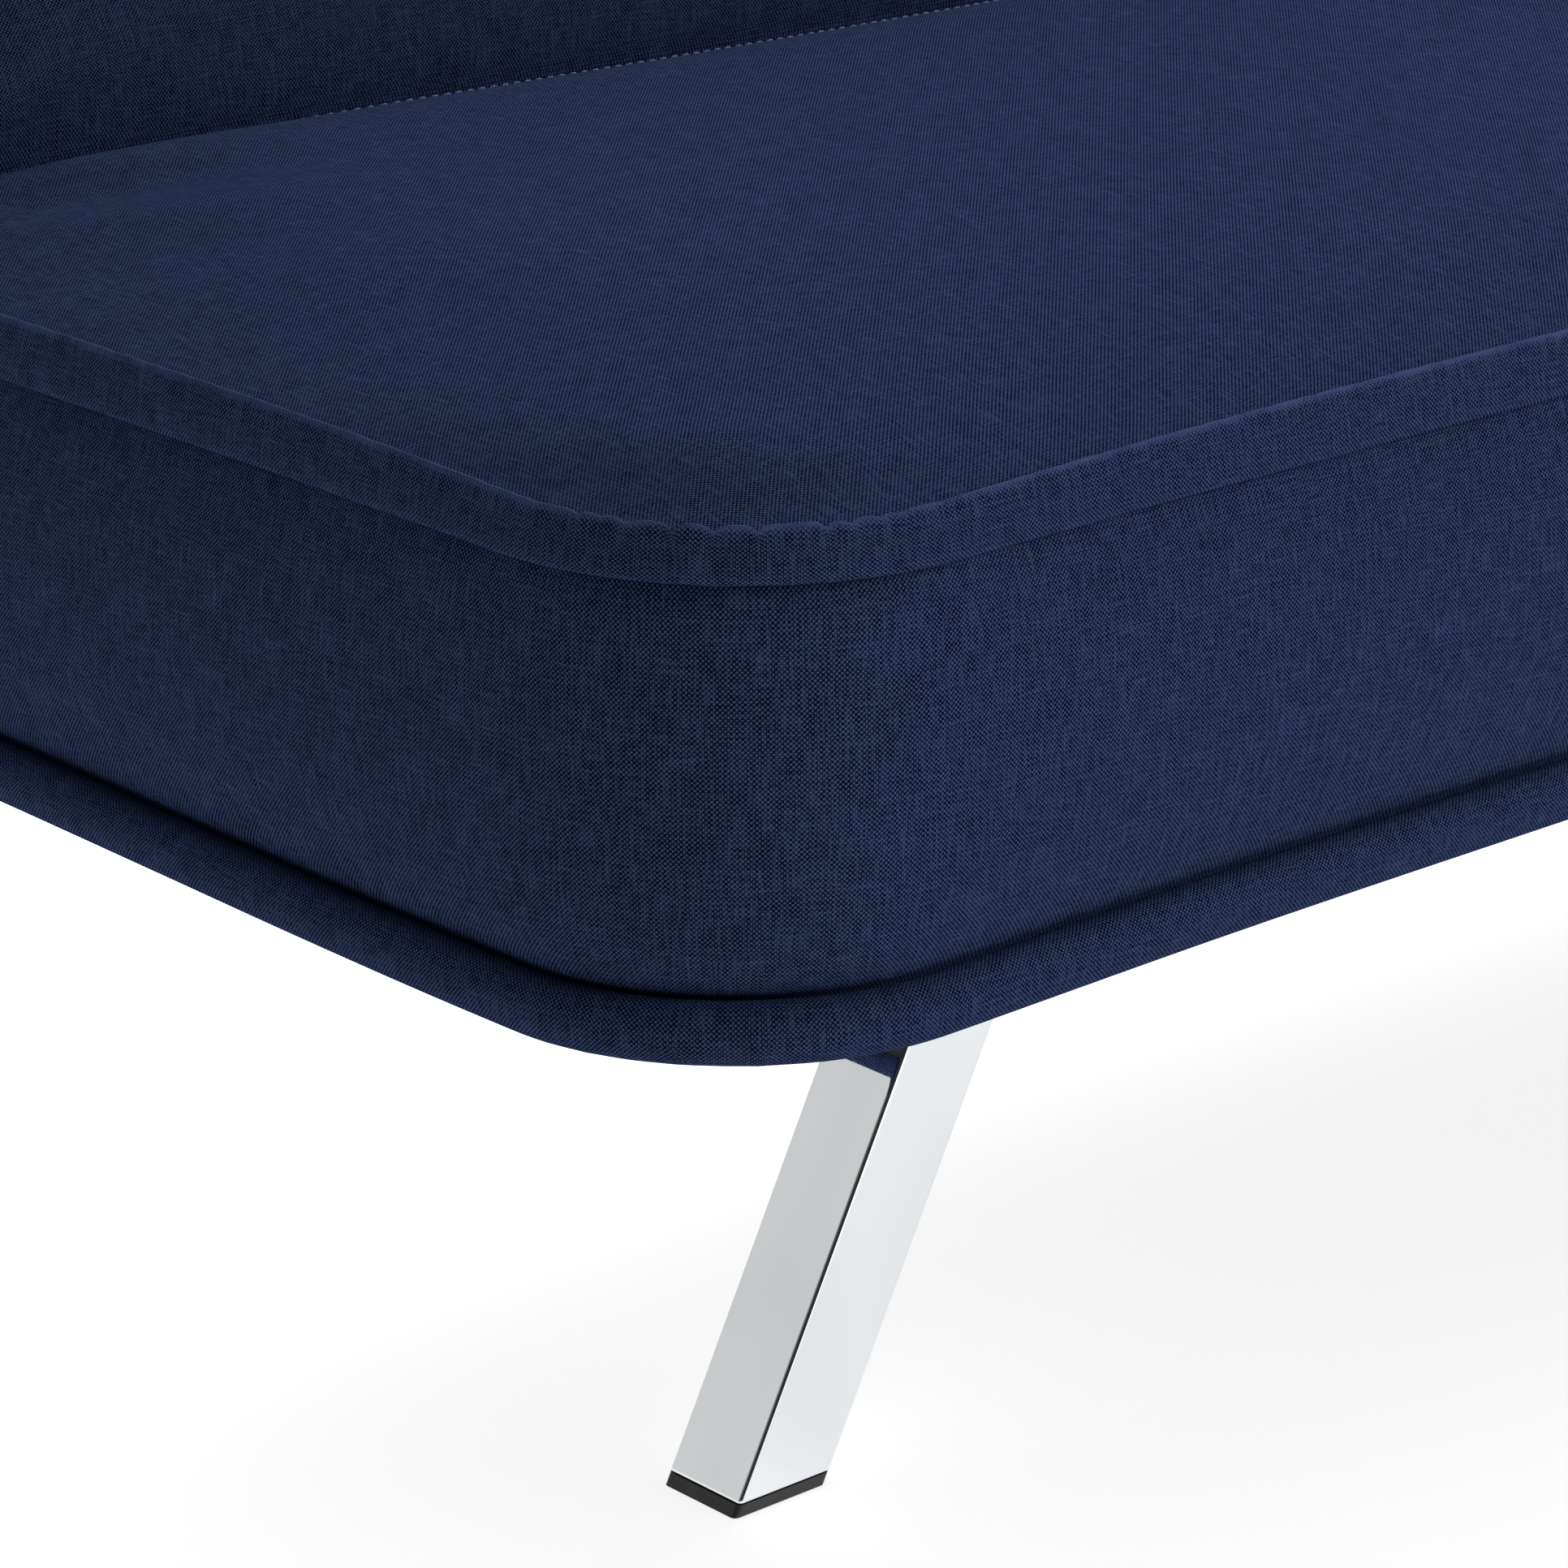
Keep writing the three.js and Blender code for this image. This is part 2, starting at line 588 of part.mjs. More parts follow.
// The bracket that carries the tilt pin, on the outer face of a side rail.
function baseBracketGeometry() {
  const start = RAIL_SPREAD + RAIL / 2 + GAP;
  const foot = BASE_TOP - RAIL + 5;
  const shape = new THREE.Shape();
  shape.moveTo(TILT_PIVOT.y - 40, foot);
  shape.lineTo(TILT_PIVOT.y + 40, foot);
  shape.lineTo(TILT_PIVOT.y + TILT_EYE, TILT_PIVOT.z);
  shape.absarc(TILT_PIVOT.y, TILT_PIVOT.z, TILT_EYE, 0, Math.PI);
  return plateX(shape, start, PLATE, [pinHole(start, PLATE, TILT_PIVOT.y, TILT_PIVOT.z)]);
}

function tiltPinGeometry() {
  const start = RAIL_SPREAD + RAIL / 2 + 2 * GAP;
  const end = ARM_START + PLATE + GAP + PIN_HEAD.height;
  return pinGeometry(start, end, false).translate(0, TILT_PIVOT.y, TILT_PIVOT.z);
}

// A leg, drawn about the point where its axis meets the floor; it rises towards the middle.
function legGeometry() {
  const length = LEG_TOP / Math.cos(LEG_SPLAY);
  const tube = squareTube(LEG_TUBE, LEG_WALL, LEG_CORNER, -LEG_TUBE, length + LEG_TUBE);
  const room = box([-LEG_TOP, -LEG_TUBE, FOOT_CAP + GAP], [LEG_TOP, LEG_TUBE, LEG_TOP - GAP]);
  return surface(solid(tube.rotateY(-LEG_SPLAY)).intersect(solid(room)));
}

// The foot cap has a plug that fills the end of the tube.
function footCapGeometry() {
  const slice = (size, corner, low, high) => {
    const bar = alongZ(roundedRect(size, size, corner), -LEG_TUBE, 2 * LEG_TUBE, 3);
    const room = box([-LEG_TOP, -LEG_TUBE, low], [LEG_TOP, LEG_TUBE, high]);
    return solid(bar.rotateY(-LEG_SPLAY)).intersect(solid(room));
  };
  const pad = slice(LEG_TUBE, LEG_CORNER, 0, FOOT_CAP);
  const plugSize = LEG_TUBE - 2 * LEG_WALL - 2 * GAP;
  return surface(pad.add(slice(plugSize, LEG_CORNER / 2, FOOT_CAP - 1, FOOT_CAP + FOOT_PLUG)));
}

function legPlateGeometry() {
  const outline = roundedRect(LEG_PLATE.x, LEG_PLATE.y, LEG_PLATE_CORNER);
  let plate = solid(alongZ(outline, LEG_TOP, LEG_TOP + LEG_PLATE.z, 2));
  for (const y of boltPlaces(0)) {
    const hole = verticalHole(y, BOLT_RADIUS + BOLT_CLEARANCE, LEG_TOP - 1, LEG_TOP + LEG_PLATE.z + 1);
    plate = plate.subtract(solid(hole));
  }
  return surface(plate);
}

function boltGeometry() {
  const head = BOLT_HEAD.height;
  const hex = new THREE.CylinderGeometry(BOLT_HEAD.radius, BOLT_HEAD.radius, head, 6);
  const shank = new THREE.CylinderGeometry(BOLT_RADIUS, BOLT_RADIUS, BOLT_LENGTH + 1, 8);
  hex.rotateX(Math.PI / 2).translate(0, 0, -head / 2);
  shank.rotateX(Math.PI / 2).translate(0, 0, (BOLT_LENGTH - 1) / 2);
  return surface(solid(hex).add(solid(shank)));
}

function legParts(side, sideTitle, y, rowTitle) {
  const title = `${rowTitle}_${sideTitle}`;
  const footX = side * (RAIL_SPREAD + LEG_TOP * Math.tan(LEG_SPLAY));
  const leg = part(`leg_${title}`, mirrored(legGeometry(), side), 'chrome');
  const cap = part(`foot_cap_${title}`, mirrored(footCapGeometry(), side), 'plastic');
  const plate = part(`leg_plate_${title}`, legPlateGeometry(), 'steel');
  leg.position.set(footX, y, 0);
  cap.position.set(footX, y, 0);
  plate.position.set(side * RAIL_SPREAD, y, 0);
  const bolts = boltPlaces(y).map((place, index) => {
    const end = index === 0 ? 'front' : 'rear';
    const bolt = part(`leg_bolt_${title}_${end}`, boltGeometry(), 'zinc');
    bolt.position.set(side * RAIL_SPREAD, place, LEG_TOP - GAP);
    return bolt;
  });
  return [leg, cap, plate, ...bolts];
}

function seatStopGeometry() {
  const low = BASE_TOP + GAP;
  const high = SEAT_TOP - SEAT_THICKNESS - GAP;
  return new THREE.CylinderGeometry(STOP_RADIUS - 1, STOP_RADIUS, high - low, 16)
    .rotateX(Math.PI / 2).translate(0, RAIL_FRONT + RAIL / 2, (low + high) / 2);
}

function baseSideParts(side, title) {
  const rail = part(`base_rail_${title}`, sideRailGeometry(), 'steel');
  const stop = part(`seat_stop_${title}`, seatStopGeometry(), 'rubber');
  rail.position.x = side * RAIL_SPREAD;
  stop.position.x = side * STOP_SPREAD;
  return [
    rail,
    stop,
    part(`base_bracket_${title}`, mirrored(baseBracketGeometry(), side), 'steel'),
    part(`tilt_pin_${title}`, mirrored(tiltPinGeometry(), side), 'zinc'),
    ...legParts(side, title, FRONT_LEG, 'front'),
    ...legParts(side, title, REAR_LEG, 'rear'),
  ];
}

function baseCrossRails() {
  const end = RAIL_SPREAD - RAIL / 2 - GAP;
  return [
    part('base_rail_front', railAlongX(-end, end, RAIL_FRONT + RAIL / 2), 'steel'),
    part('base_rail_rear', railAlongX(-end, end, RAIL_REAR - RAIL / 2), 'steel'),
  ];
}

// ---- Assembly -----------------------------------------------------------------------------

const seatPad = group(
  ...softParts('seat', SEAT_PAD),
  ...frameParts('seat', SEAT_PAD, 'front', 'rear'),
  ...springParts('seat', SEAT_PAD),
);
seatPad.position.set(0, PIVOT.y, PIVOT.z);
seatPad.rotation.z = Math.PI;

const backPad = group(
  ...softParts('back', BACK_PAD),
  ...frameParts('back', BACK_PAD, 'top', 'bottom'),
  ...backMechanism(-1, 'left'),
  ...backMechanism(1, 'right'),
);
backPad.position.set(0, PIVOT.y, PIVOT.z);
backPad.rotation.x = FOLD_ANGLE;

const base = group(
  ...baseCrossRails(),
  ...baseSideParts(-1, 'left'),
  ...baseSideParts(1, 'right'),
);

const sofa = group(
  base, seatPad, ...seatMechanism(-1, 'left'), ...seatMechanism(1, 'right'), backPad);
sofa.updateMatrixWorld(true);
const bounds = new THREE.Box3().setFromObject(sofa, true);
const middle = bounds.getCenter(new THREE.Vector3());
sofa.position.set(-middle.x, -middle.y, -bounds.min.z);

export default sofa;
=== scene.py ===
import json
import math

import bpy
import numpy as np
from mathutils import Matrix, Vector
from mathutils.bvhtree import BVHTree


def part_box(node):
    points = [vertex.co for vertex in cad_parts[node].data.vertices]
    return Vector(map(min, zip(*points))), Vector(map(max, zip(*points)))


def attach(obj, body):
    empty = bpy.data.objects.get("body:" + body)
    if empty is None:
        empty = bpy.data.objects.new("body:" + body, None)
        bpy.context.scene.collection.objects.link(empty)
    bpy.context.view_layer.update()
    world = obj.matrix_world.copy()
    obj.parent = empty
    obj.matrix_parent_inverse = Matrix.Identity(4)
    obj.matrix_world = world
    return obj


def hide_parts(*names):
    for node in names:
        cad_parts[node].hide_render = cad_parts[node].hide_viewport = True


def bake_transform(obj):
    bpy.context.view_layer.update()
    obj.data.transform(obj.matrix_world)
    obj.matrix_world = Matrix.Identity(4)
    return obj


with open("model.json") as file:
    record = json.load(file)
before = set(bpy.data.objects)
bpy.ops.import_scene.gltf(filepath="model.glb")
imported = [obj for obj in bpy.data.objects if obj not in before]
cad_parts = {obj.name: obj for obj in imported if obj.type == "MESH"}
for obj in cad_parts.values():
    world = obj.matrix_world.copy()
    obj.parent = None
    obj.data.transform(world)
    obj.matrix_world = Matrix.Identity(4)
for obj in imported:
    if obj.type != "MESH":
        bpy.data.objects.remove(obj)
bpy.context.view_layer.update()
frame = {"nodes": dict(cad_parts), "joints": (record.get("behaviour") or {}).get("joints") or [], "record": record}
MM = 0.001

# ---- Sizes -----------------------------------------------------------------------------------

# Camera, placed from the outer front corner of the front left foot
CAMERA_FROM_FOOT = Vector((-1.126, -1.284, 0.840))
CAMERA_HEADING = math.radians(48.22)  # from +X towards +Y
CAMERA_PITCH = math.radians(19.08)
CAMERA_LENS = 135.4

# Pads
OUTER_RADIUS = 90 * MM
FOLD_RADIUS = 30 * MM
FOLD_GAP = 3 * MM
FOLD_TURN = math.radians(57)  # the back's turn from flat to rest
BEVEL = FOLD_TURN / 2
FOLD_EASE = 0.13  # the fabric's extra slope away from the fold, so the back can lean forward
GRID_X = 140  # cells of a pad's panels, across and from the fold to the outer edge
GRID_Y = 44
BORDER_ROWS = 16

# Room for the hinge arms and the ratchet in the pads, as in the CAD
SLOT_NEAR = 599.8 * MM
SLOT_FAR = 630 * MM
SLOT_DEPTH = 26 * MM
SLOT_RADIUS = 36 * MM

# The thread pitch of the cover's plain weave
THREAD = 0.76 * MM


# ---- Frame of each pad -----------------------------------------------------------------------
# A pad's own frame has its origin on the recline pivot, +Y from the fold to the outer edge, and
# +Z out of the surface that is sat on or leant on.

def joint_place(name):
    joint = next(j for j in frame["joints"] if j["name"] == name)
    return Vector(joint["pos_m"])


PIVOT = joint_place("back_recline")
SEAT_FRAME = Matrix.Translation(PIVOT) @ Matrix.Rotation(math.pi, 4, "Z")
BACK_FRAME = Matrix.Translation(PIVOT) @ Matrix.Rotation(FOLD_TURN, 4, "X")


class Pad:
    """The size of a pad in its own frame, from its CAD cover."""

    def __init__(self, name, matrix):
        self.name = name
        self.matrix = matrix
        inverse = matrix.inverted()
        corners = np.array([inverse @ v.co for v in frame["nodes"][f"{name}_cover"].data.vertices])
        low = corners.min(axis=0)
        high = corners.max(axis=0)
        self.half = float(high[0])
        self.near = FOLD_GAP
        self.far = float(high[1])
        self.bottom = float(low[2])
        self.top = float(high[2])


SEAT = Pad("seat", SEAT_FRAME)
BACK = Pad("back", BACK_FRAME)


# ---- Outline of a pad ------------------------------------------------------------------------

def side_points(first, second, count):
    """Points and outward normals along one side, from the middle of one corner's arc to the next.
    Each corner is (centre, radius, angle at the side's end of the arc's run)."""
    (ca, ra, start), (cb, rb, _) = first, second
    facing = start + math.pi / 4
    run_a = ra * math.pi / 4
    run_b = rb * math.pi / 4
    turn = np.array([math.cos(facing), math.sin(facing)])
    straight = float(np.linalg.norm((cb + rb * turn) - (ca + ra * turn)))
    total = run_a + straight + run_b
    points, normals = [], []
    for step in range(count):
        along = total * step / count
        if along < run_a:
            angle = start + along / ra
            centre, radius = ca, ra
        elif along > run_a + straight:
            angle = facing + (along - run_a - straight) / rb
            centre, radius = cb, rb
        else:
            share = (along - run_a) / straight
            angle = facing
            centre = ca + (cb - ca) * share
            radius = ra + (rb - ra) * share
        normal = np.array([math.cos(angle), math.sin(angle)])
        points.append(centre + radius * normal)
        normals.append(normal)
    return points, normals


def pad_outline(pad, across, along):
    """The pad's plan outline, counter-clockwise from the fold corner at -X: points, normals."""
    x, near, far = pad.half, pad.near, pad.far
    fold = FOLD_RADIUS
    outer = OUTER_RADIUS
    quarter = math.pi / 2
    corners = [
        (np.array([-x + fold, near + fold]), fold, -1.5 * quarter),
        (np.array([x - fold, near + fold]), fold, -0.5 * quarter),
        (np.array([x - outer, far - outer]), outer, 0.5 * quarter),
        (np.array([-x + outer, far - outer]), outer, 1.5 * quarter),
    ]
    points, normals = [], []
    for index, count in enumerate((across, along, across, along)):
        p, n = side_points(corners[index], corners[(index + 1) % 4], count)
        points += p
        normals += n
    return np.array(points), np.array(normals)


def arc_lengths(points):
    steps = np.linalg.norm(np.roll(points, -1, axis=0) - points, axis=1)
    return np.concatenate([[0], np.cumsum(steps)])


def bevel_shift(height):
    """How far the fold wall stands back from the pivot plane at a height above the pivot."""
    return np.maximum(height, 0) * (math.tan(BEVEL) + FOLD_EASE)


def fold_share(normals):
    """1 where the outline faces the fold, 0 elsewhere."""
    return np.clip(-normals[:, 1], 0, 1) ** 2


def ring(points, normals, inset, height):
    """One ring round the pad, at an inset and a height for each of its points."""
    place = points - normals * np.asarray(inset).reshape(-1, 1)
    shift = bevel_shift(height) * fold_share(normals)
    heights = np.broadcast_to(height, (len(points),))
    return np.column_stack([place[:, 0], place[:, 1] + shift, heights])


# ---- Mesh helpers ----------------------------------------------------------------------------

def make_object(name, vertices, faces, uvs=None, smooth=True):
    """A mesh object. uvs is a list of one (u, v) for each corner of each face, in metres."""
    mesh = bpy.data.meshes.new(name)
    mesh.from_pydata([tuple(v) for v in vertices], [], faces)
    if uvs is not None:
        layer = mesh.uv_layers.new(name="weave")
        layer.data.foreach_set("uv", np.array(uvs, dtype=np.float32).ravel())
    mesh.validate()
    mesh.update()
    if smooth:
        mesh.polygons.foreach_set("use_smooth", [True] * len(mesh.polygons))
    obj = bpy.data.objects.new(name, mesh)
    bpy.context.scene.collection.objects.link(obj)
    return obj


def wall_faces(levels, count, first=0, flip=False):
    """Quads between successive rings of count points, which are numbered from first."""
    faces = []
    for level in range(levels - 1):
        for step in range(count):
            after = (step + 1) % count
            a = first + level * count
            b = a + count
            faces.append([a + step, b + step, b + after, a + after] if flip
                         else [a + step, a + after, b + after, b + step])
    return faces


def get_points(obj):
    count = len(obj.data.vertices)
    flat = np.empty(count * 3, dtype=np.float32)
    obj.data.vertices.foreach_get("co", flat)
    return flat.reshape(-1, 3).astype(float)


def set_points(obj, points):
    obj.data.vertices.foreach_set("co", np.asarray(points, dtype=np.float32).ravel())
    obj.data.update()


def apply_modifiers(obj):
    depsgraph = bpy.context.evaluated_depsgraph_get()
    mesh = bpy.data.meshes.new_from_object(obj.evaluated_get(depsgraph))
    obj.modifiers.clear()
    obj.data = mesh


def subdivide(obj, levels):
    modifier = obj.modifiers.new("subdivision", "SUBSURF")
    modifier.levels = levels
    modifier.render_levels = levels
    apply_modifiers(obj)


# ---- Materials -------------------------------------------------------------------------------

RIM_WEAR_AND_HIGHLIGHT = "rim_wear_and_highlight"  # mesh attribute, 1 where an edge is rubbed and where a painted highlight lies along the top welt's rim


class Nodes:
    """Short calls for building a material's node tree."""

    def __init__(self, name):
        self.material = bpy.data.materials.new(name)
        self.material.use_nodes = True
        self.tree = self.material.node_tree
        self.shader = self.tree.nodes["Principled BSDF"]

    def node(self, kind, **settings):
        made = self.tree.nodes.new(kind)
        for key, value in settings.items():
            setattr(made, key, value)
        return made

    def put(self, socket, value):
        if isinstance(value, bpy.types.NodeSocket):
            self.tree.links.new(value, socket)
        else:
            socket.default_value = value

    def math(self, operation, *values, clamp=False):
        made = self.node("ShaderNodeMath", operation=operation, use_clamp=clamp)
        for socket, value in zip(made.inputs, values):
            self.put(socket, value)
        return made.outputs[0]

    def mix(self, share, first, second):
        made = self.node("ShaderNodeMix", data_type="RGBA")
        self.put(made.inputs["Factor"], share)
        self.put(made.inputs["A"], first)
        self.put(made.inputs["B"], second)
        return made.outputs["Result"]

    def remap(self, value, low, high, to_low, to_high):
        made = self.node("ShaderNodeMapRange")
        for name, number in (("Value", value), ("From Min", low), ("From Max", high),
                             ("To Min", to_low), ("To Max", to_high)):
            self.put(made.inputs[name], number)
        return made.outputs[0]

    def noise(self, vector, scale, detail=2.0, roughness=0.5):
        made = self.node("ShaderNodeTexNoise")
        self.put(made.inputs["Vector"], vector)
        made.inputs["Scale"].default_value = scale
        made.inputs["Detail"].default_value = detail
        made.inputs["Roughness"].default_value = roughness
        return made.outputs["Fac"]

    def stretch(self, vector, scale):
        made = self.node("ShaderNodeVectorMath", operation="MULTIPLY")
        self.put(made.inputs[0], vector)
        made.inputs[1].default_value = scale
        return made.outputs[0]

    def bump(self, height, distance, strength=1.0):
        made = self.node("ShaderNodeBump")
        made.inputs["Distance"].default_value = distance
        made.inputs["Strength"].default_value = strength
        self.put(made.inputs["Height"], height)
        return made.outputs["Normal"]

    def set(self, **values):
        for key, value in values.items():
            self.put(self.shader.inputs[key.replace("_", " ")], value)


def thread_streaks(nodes, uv, along, across):
    """Light and dark threads: noise drawn out along one direction, a thread wide in the other."""
    long_way = (1 / along, 1 / (0.8 * across), 1.0)
    drawn = nodes.stretch(uv, long_way)
    return nodes.noise(drawn, 1.0, detail=1.5, roughness=0.6)


def weave_threads(n, uv, pitch):
    """Which thread is on top at each crossing, its roundness, its streaks, and the diagonal rib."""
    split = n.node("ShaderNodeSeparateXYZ")
    n.put(split.inputs[0], uv)
    warp = n.math("SINE", n.math("MULTIPLY", split.outputs[0], math.pi / pitch))
    weft = n.math("SINE", n.math("MULTIPLY", split.outputs[1], math.pi / pitch))
    checker = n.math("MULTIPLY", warp, weft)
    over = n.remap(checker, -0.25, 0.25, 0.0, 1.0)
    ridges = n.mix(over, n.math("ABSOLUTE", weft), n.math("ABSOLUTE", warp))
    turned = n.node("ShaderNodeCombineXYZ")
    n.put(turned.inputs[0], split.outputs[1])
    n.put(turned.inputs[1], split.outputs[0])
    warp_streaks = thread_streaks(n, uv, 7 * MM, pitch)
    weft_streaks = thread_streaks(n, turned.outputs[0], 9 * MM, pitch)
    streaks = n.mix(over, weft_streaks, warp_streaks)
    slubs = n.math("MAXIMUM", thread_streaks(n, uv, 16 * MM, 2.2 * pitch),
                   thread_streaks(n, turned.outputs[0], 20 * MM, 2.2 * pitch))
    across = n.math("SUBTRACT", split.outputs[0], split.outputs[1])
    diagonal = n.math("SINE", n.math("MULTIPLY", across, math.pi / pitch))
    return checker, ridges, streaks, slubs, diagonal


def woven_fabric(name, dark, light, pitch=THREAD):
    """Plain weave in two close shades, with slubby threads both ways, painted shade between the threads, and rims
    that are partly worn and partly a painted highlight.
    """
    n = Nodes(name)
    uv = n.node("ShaderNodeUVMap", uv_map="weave").outputs[0]
    checker, ridges, streaks, slubs, diagonal = weave_threads(n, uv, pitch)
    cloudy = n.noise(uv, 60.0, detail=3.0)
    worn_and_highlit = n.node("ShaderNodeAttribute", attribute_name=RIM_WEAR_AND_HIGHLIGHT).outputs["Fac"]
    tone = n.math("ADD", n.remap(streaks, 0.38, 0.64, -0.22, 0.28), n.remap(slubs, 0.5, 0.7, -0.05, 0.12))
    tone = n.math("ADD", tone, n.math("MULTIPLY", diagonal, 0.16))
    # Painted shade and highlight at thread scale: each thread's crown is lighter and the gaps between threads are
    # darker.
    tone = n.math("ADD", tone, n.remap(ridges, 0.3, 0.9, -0.16, 0.14))
    tone = n.math("ADD", tone, n.remap(checker, -0.25, 0.5, 0.0, 0.88))
    # Lighter where the rim attribute is set: partly wear, partly a painted highlight where light catches the top
    # welt's rim.
    tone = n.math("ADD", tone, n.math("MULTIPLY", worn_and_highlit, n.remap(cloudy, 0.3, 0.7, 0.35, 1.0)))
    tone = n.math("ADD", tone, n.remap(cloudy, 0.3, 0.7, -0.03, 0.05), clamp=True)
    lift = n.math("MULTIPLY", n.math("ABSOLUTE", checker), 0.5)
    height = n.math("ADD", n.math("MULTIPLY", ridges, 0.6), lift)
    n.set(Base_Color=n.mix(tone, (*dark, 1.0), (*light, 1.0)),
          Roughness=n.remap(height, 0, 1, 0.95, 0.8), Normal=n.bump(height, 0.12 * MM, 0.5))
    n.shader.inputs["Specular IOR Level"].default_value = 0.0
    n.shader.inputs["Sheen Weight"].default_value = 0.02
    n.shader.inputs["Sheen Roughness"].default_value = 0.5
    n.shader.inputs["Sheen Tint"].default_value = (0.3, 0.42, 1.0, 1.0)
    return n.material


def thread_material(name, colour):
    """Twisted polyester sewing thread."""
    n = Nodes(name)
    place = n.node("ShaderNodeTexCoord").outputs["Object"]
    twist = n.node("ShaderNodeTexWave", bands_direction="DIAGONAL")
    n.put(twist.inputs["Vector"], place)
    twist.inputs["Scale"].default_value = 900.0
    shade = n.mix(n.remap(twist.outputs["Fac"], 0, 1, 0.6, 1.0), (0, 0, 0, 1), (*colour, 1.0))
    n.set(Base_Color=shade, Normal=n.bump(twist.outputs["Fac"], 0.1 * MM))
    n.shader.inputs["Roughness"].default_value = 0.6
    n.shader.inputs["Specular IOR Level"].default_value = 0.1
    return n.material


def chrome_plate(name):
    """Bright chrome on steel tube, with faint polishing waviness and fine specks."""
    n = Nodes(name)
    place = n.node("ShaderNodeTexCoord").outputs["Object"]
    waves = n.noise(n.stretch(place, (1.0, 1.0, 0.25)), 28.0, detail=1.0)
    specks = n.noise(place, 900.0, detail=2.0)
    rough = n.remap(specks, 0.45, 0.75, 0.008, 0.03)
    tint = n.mix(n.remap(waves, 0.3, 0.7, 0.0, 1.0), (0.80, 0.82, 0.84, 1), (0.84, 0.86, 0.875, 1))
    n.set(Base_Color=tint, Roughness=rough, Normal=n.bump(waves, 0.03 * MM, 0.3))
    n.shader.inputs["Metallic"].default_value = 1.0
    return n.material


def painted_steel(name):
    """Black powder coat: fine orange peel, rubbed a little in scattered patches."""
    n = Nodes(name)
    place = n.node("ShaderNodeTexCoord").outputs["Object"]
    peel = n.noise(place, 1400.0, detail=2.0)
    wear = n.noise(place, 45.0, detail=5.0, roughness=0.65)
    colour = n.mix(n.remap(wear, 0.6, 0.8, 0.0, 0.6), (0.012, 0.012, 0.013, 1), (0.05, 0.05, 0.052, 1))
    n.set(Base_Color=colour, Roughness=n.remap(wear, 0.3, 0.8, 0.38, 0.6),
          Normal=n.bump(peel, 0.06 * MM, 0.6))
    return n.material


def zinc_steel(name):
    """Zinc-plated steel, spangled and slightly brushed."""
    n = Nodes(name)
    place = n.node("ShaderNodeTexCoord").outputs["Object"]
    spangle = n.node("ShaderNodeTexVoronoi")
    n.put(spangle.inputs["Vector"], place)
    spangle.inputs["Scale"].default_value = 220.0
    brushed = n.noise(n.stretch(place, (60.0, 900.0, 900.0)), 1.0, detail=1.0)
    shade = n.mix(n.remap(spangle.outputs["Distance"], 0, 1, 0, 1), (0.40, 0.41, 0.43, 1),
                  (0.58, 0.58, 0.60, 1))
    n.set(Base_Color=shade, Roughness=n.remap(brushed, 0.3, 0.7, 0.22, 0.42),
          Normal=n.bump(brushed, 0.02 * MM, 0.5))
    n.shader.inputs["Metallic"].default_value = 1.0
    return n.material


def moulded(name, colour, roughness, grain):
    """Moulded plastic or rubber with a fine spark-eroded grain."""
    n = Nodes(name)
    place = n.node("ShaderNodeTexCoord").outputs["Object"]
    fine = n.noise(place, 2500.0, detail=2.0)
    dust = n.noise(place, 90.0, detail=4.0)
    pale = tuple(c * 1.8 + 0.004 for c in colour)
    shade = n.mix(n.remap(dust, 0.5, 0.8, 0, 0.7), (*colour, 1.0), (*pale, 1.0))
    n.set(Base_Color=shade, Roughness=n.remap(dust, 0.3, 0.7, roughness, roughness + 0.15),
          Normal=n.bump(fine, grain, 0.5))
    return n.material


def nonwoven(name):
    """Black spun-bonded lining with its dotted bonding pattern."""
    n = Nodes(name)
    place = n.node("ShaderNodeTexCoord").outputs["Object"]
    fibre = n.noise(place, 420.0, detail=6.0, roughness=0.7)
    dots = n.node("ShaderNodeTexVoronoi", feature="DISTANCE_TO_EDGE")
    n.put(dots.inputs["Vector"], place)
    dots.inputs["Scale"].default_value = 520.0
    dots.inputs["Randomness"].default_value = 0.15
    bonded = n.remap(dots.outputs["Distance"], 0.0, 0.25, 0.0, 1.0)
    shade = n.mix(n.remap(fibre, 0.35, 0.7, 0, 1), (0.008, 0.008, 0.009, 1), (0.03, 0.03, 0.032, 1))
    height = n.math("ADD", bonded, n.math("MULTIPLY", fibre, 0.8))
    n.set(Base_Color=shade, Normal=n.bump(height, 0.12 * MM, 0.8))
    n.shader.inputs["Roughness"].default_value = 0.85
    n.shader.inputs["Specular IOR Level"].default_value = 0.08
    return n.material


NAVY_DARK = (0.0009, 0.0020, 0.0082)
NAVY_LIGHT = (0.0430, 0.0608, 0.1450)
FABRIC = woven_fabric("navy_weave", NAVY_DARK, NAVY_LIGHT)
STITCH = thread_material("navy_thread", (0.075, 0.11, 0.25))
LINING = nonwoven("black_lining")
CHROME = chrome_plate("chrome")
STEEL = painted_steel("black_powder_coat")
ZINC = zinc_steel("zinc_plate")
PLASTIC = moulded("black_plastic", (0.006, 0.006, 0.007), 0.38, 0.05 * MM)
RUBBER = moulded("black_rubber", (0.012, 0.012, 0.012), 0.7, 0.09 * MM)
FOAM = moulded("foam", (0.62, 0.55, 0.36), 0.9, 0.5 * MM)
CAD_FINISHES = {
    "painted_steel": STEEL, "zinc_steel": ZINC, "chrome": CHROME, "black_plastic": PLASTIC,
    "rubber": RUBBER, "foam": FOAM, "dust_cloth": LINING, "navy_fabric": FABRIC,
}

# ---- Pad covers ------------------------------------------------------------------------------

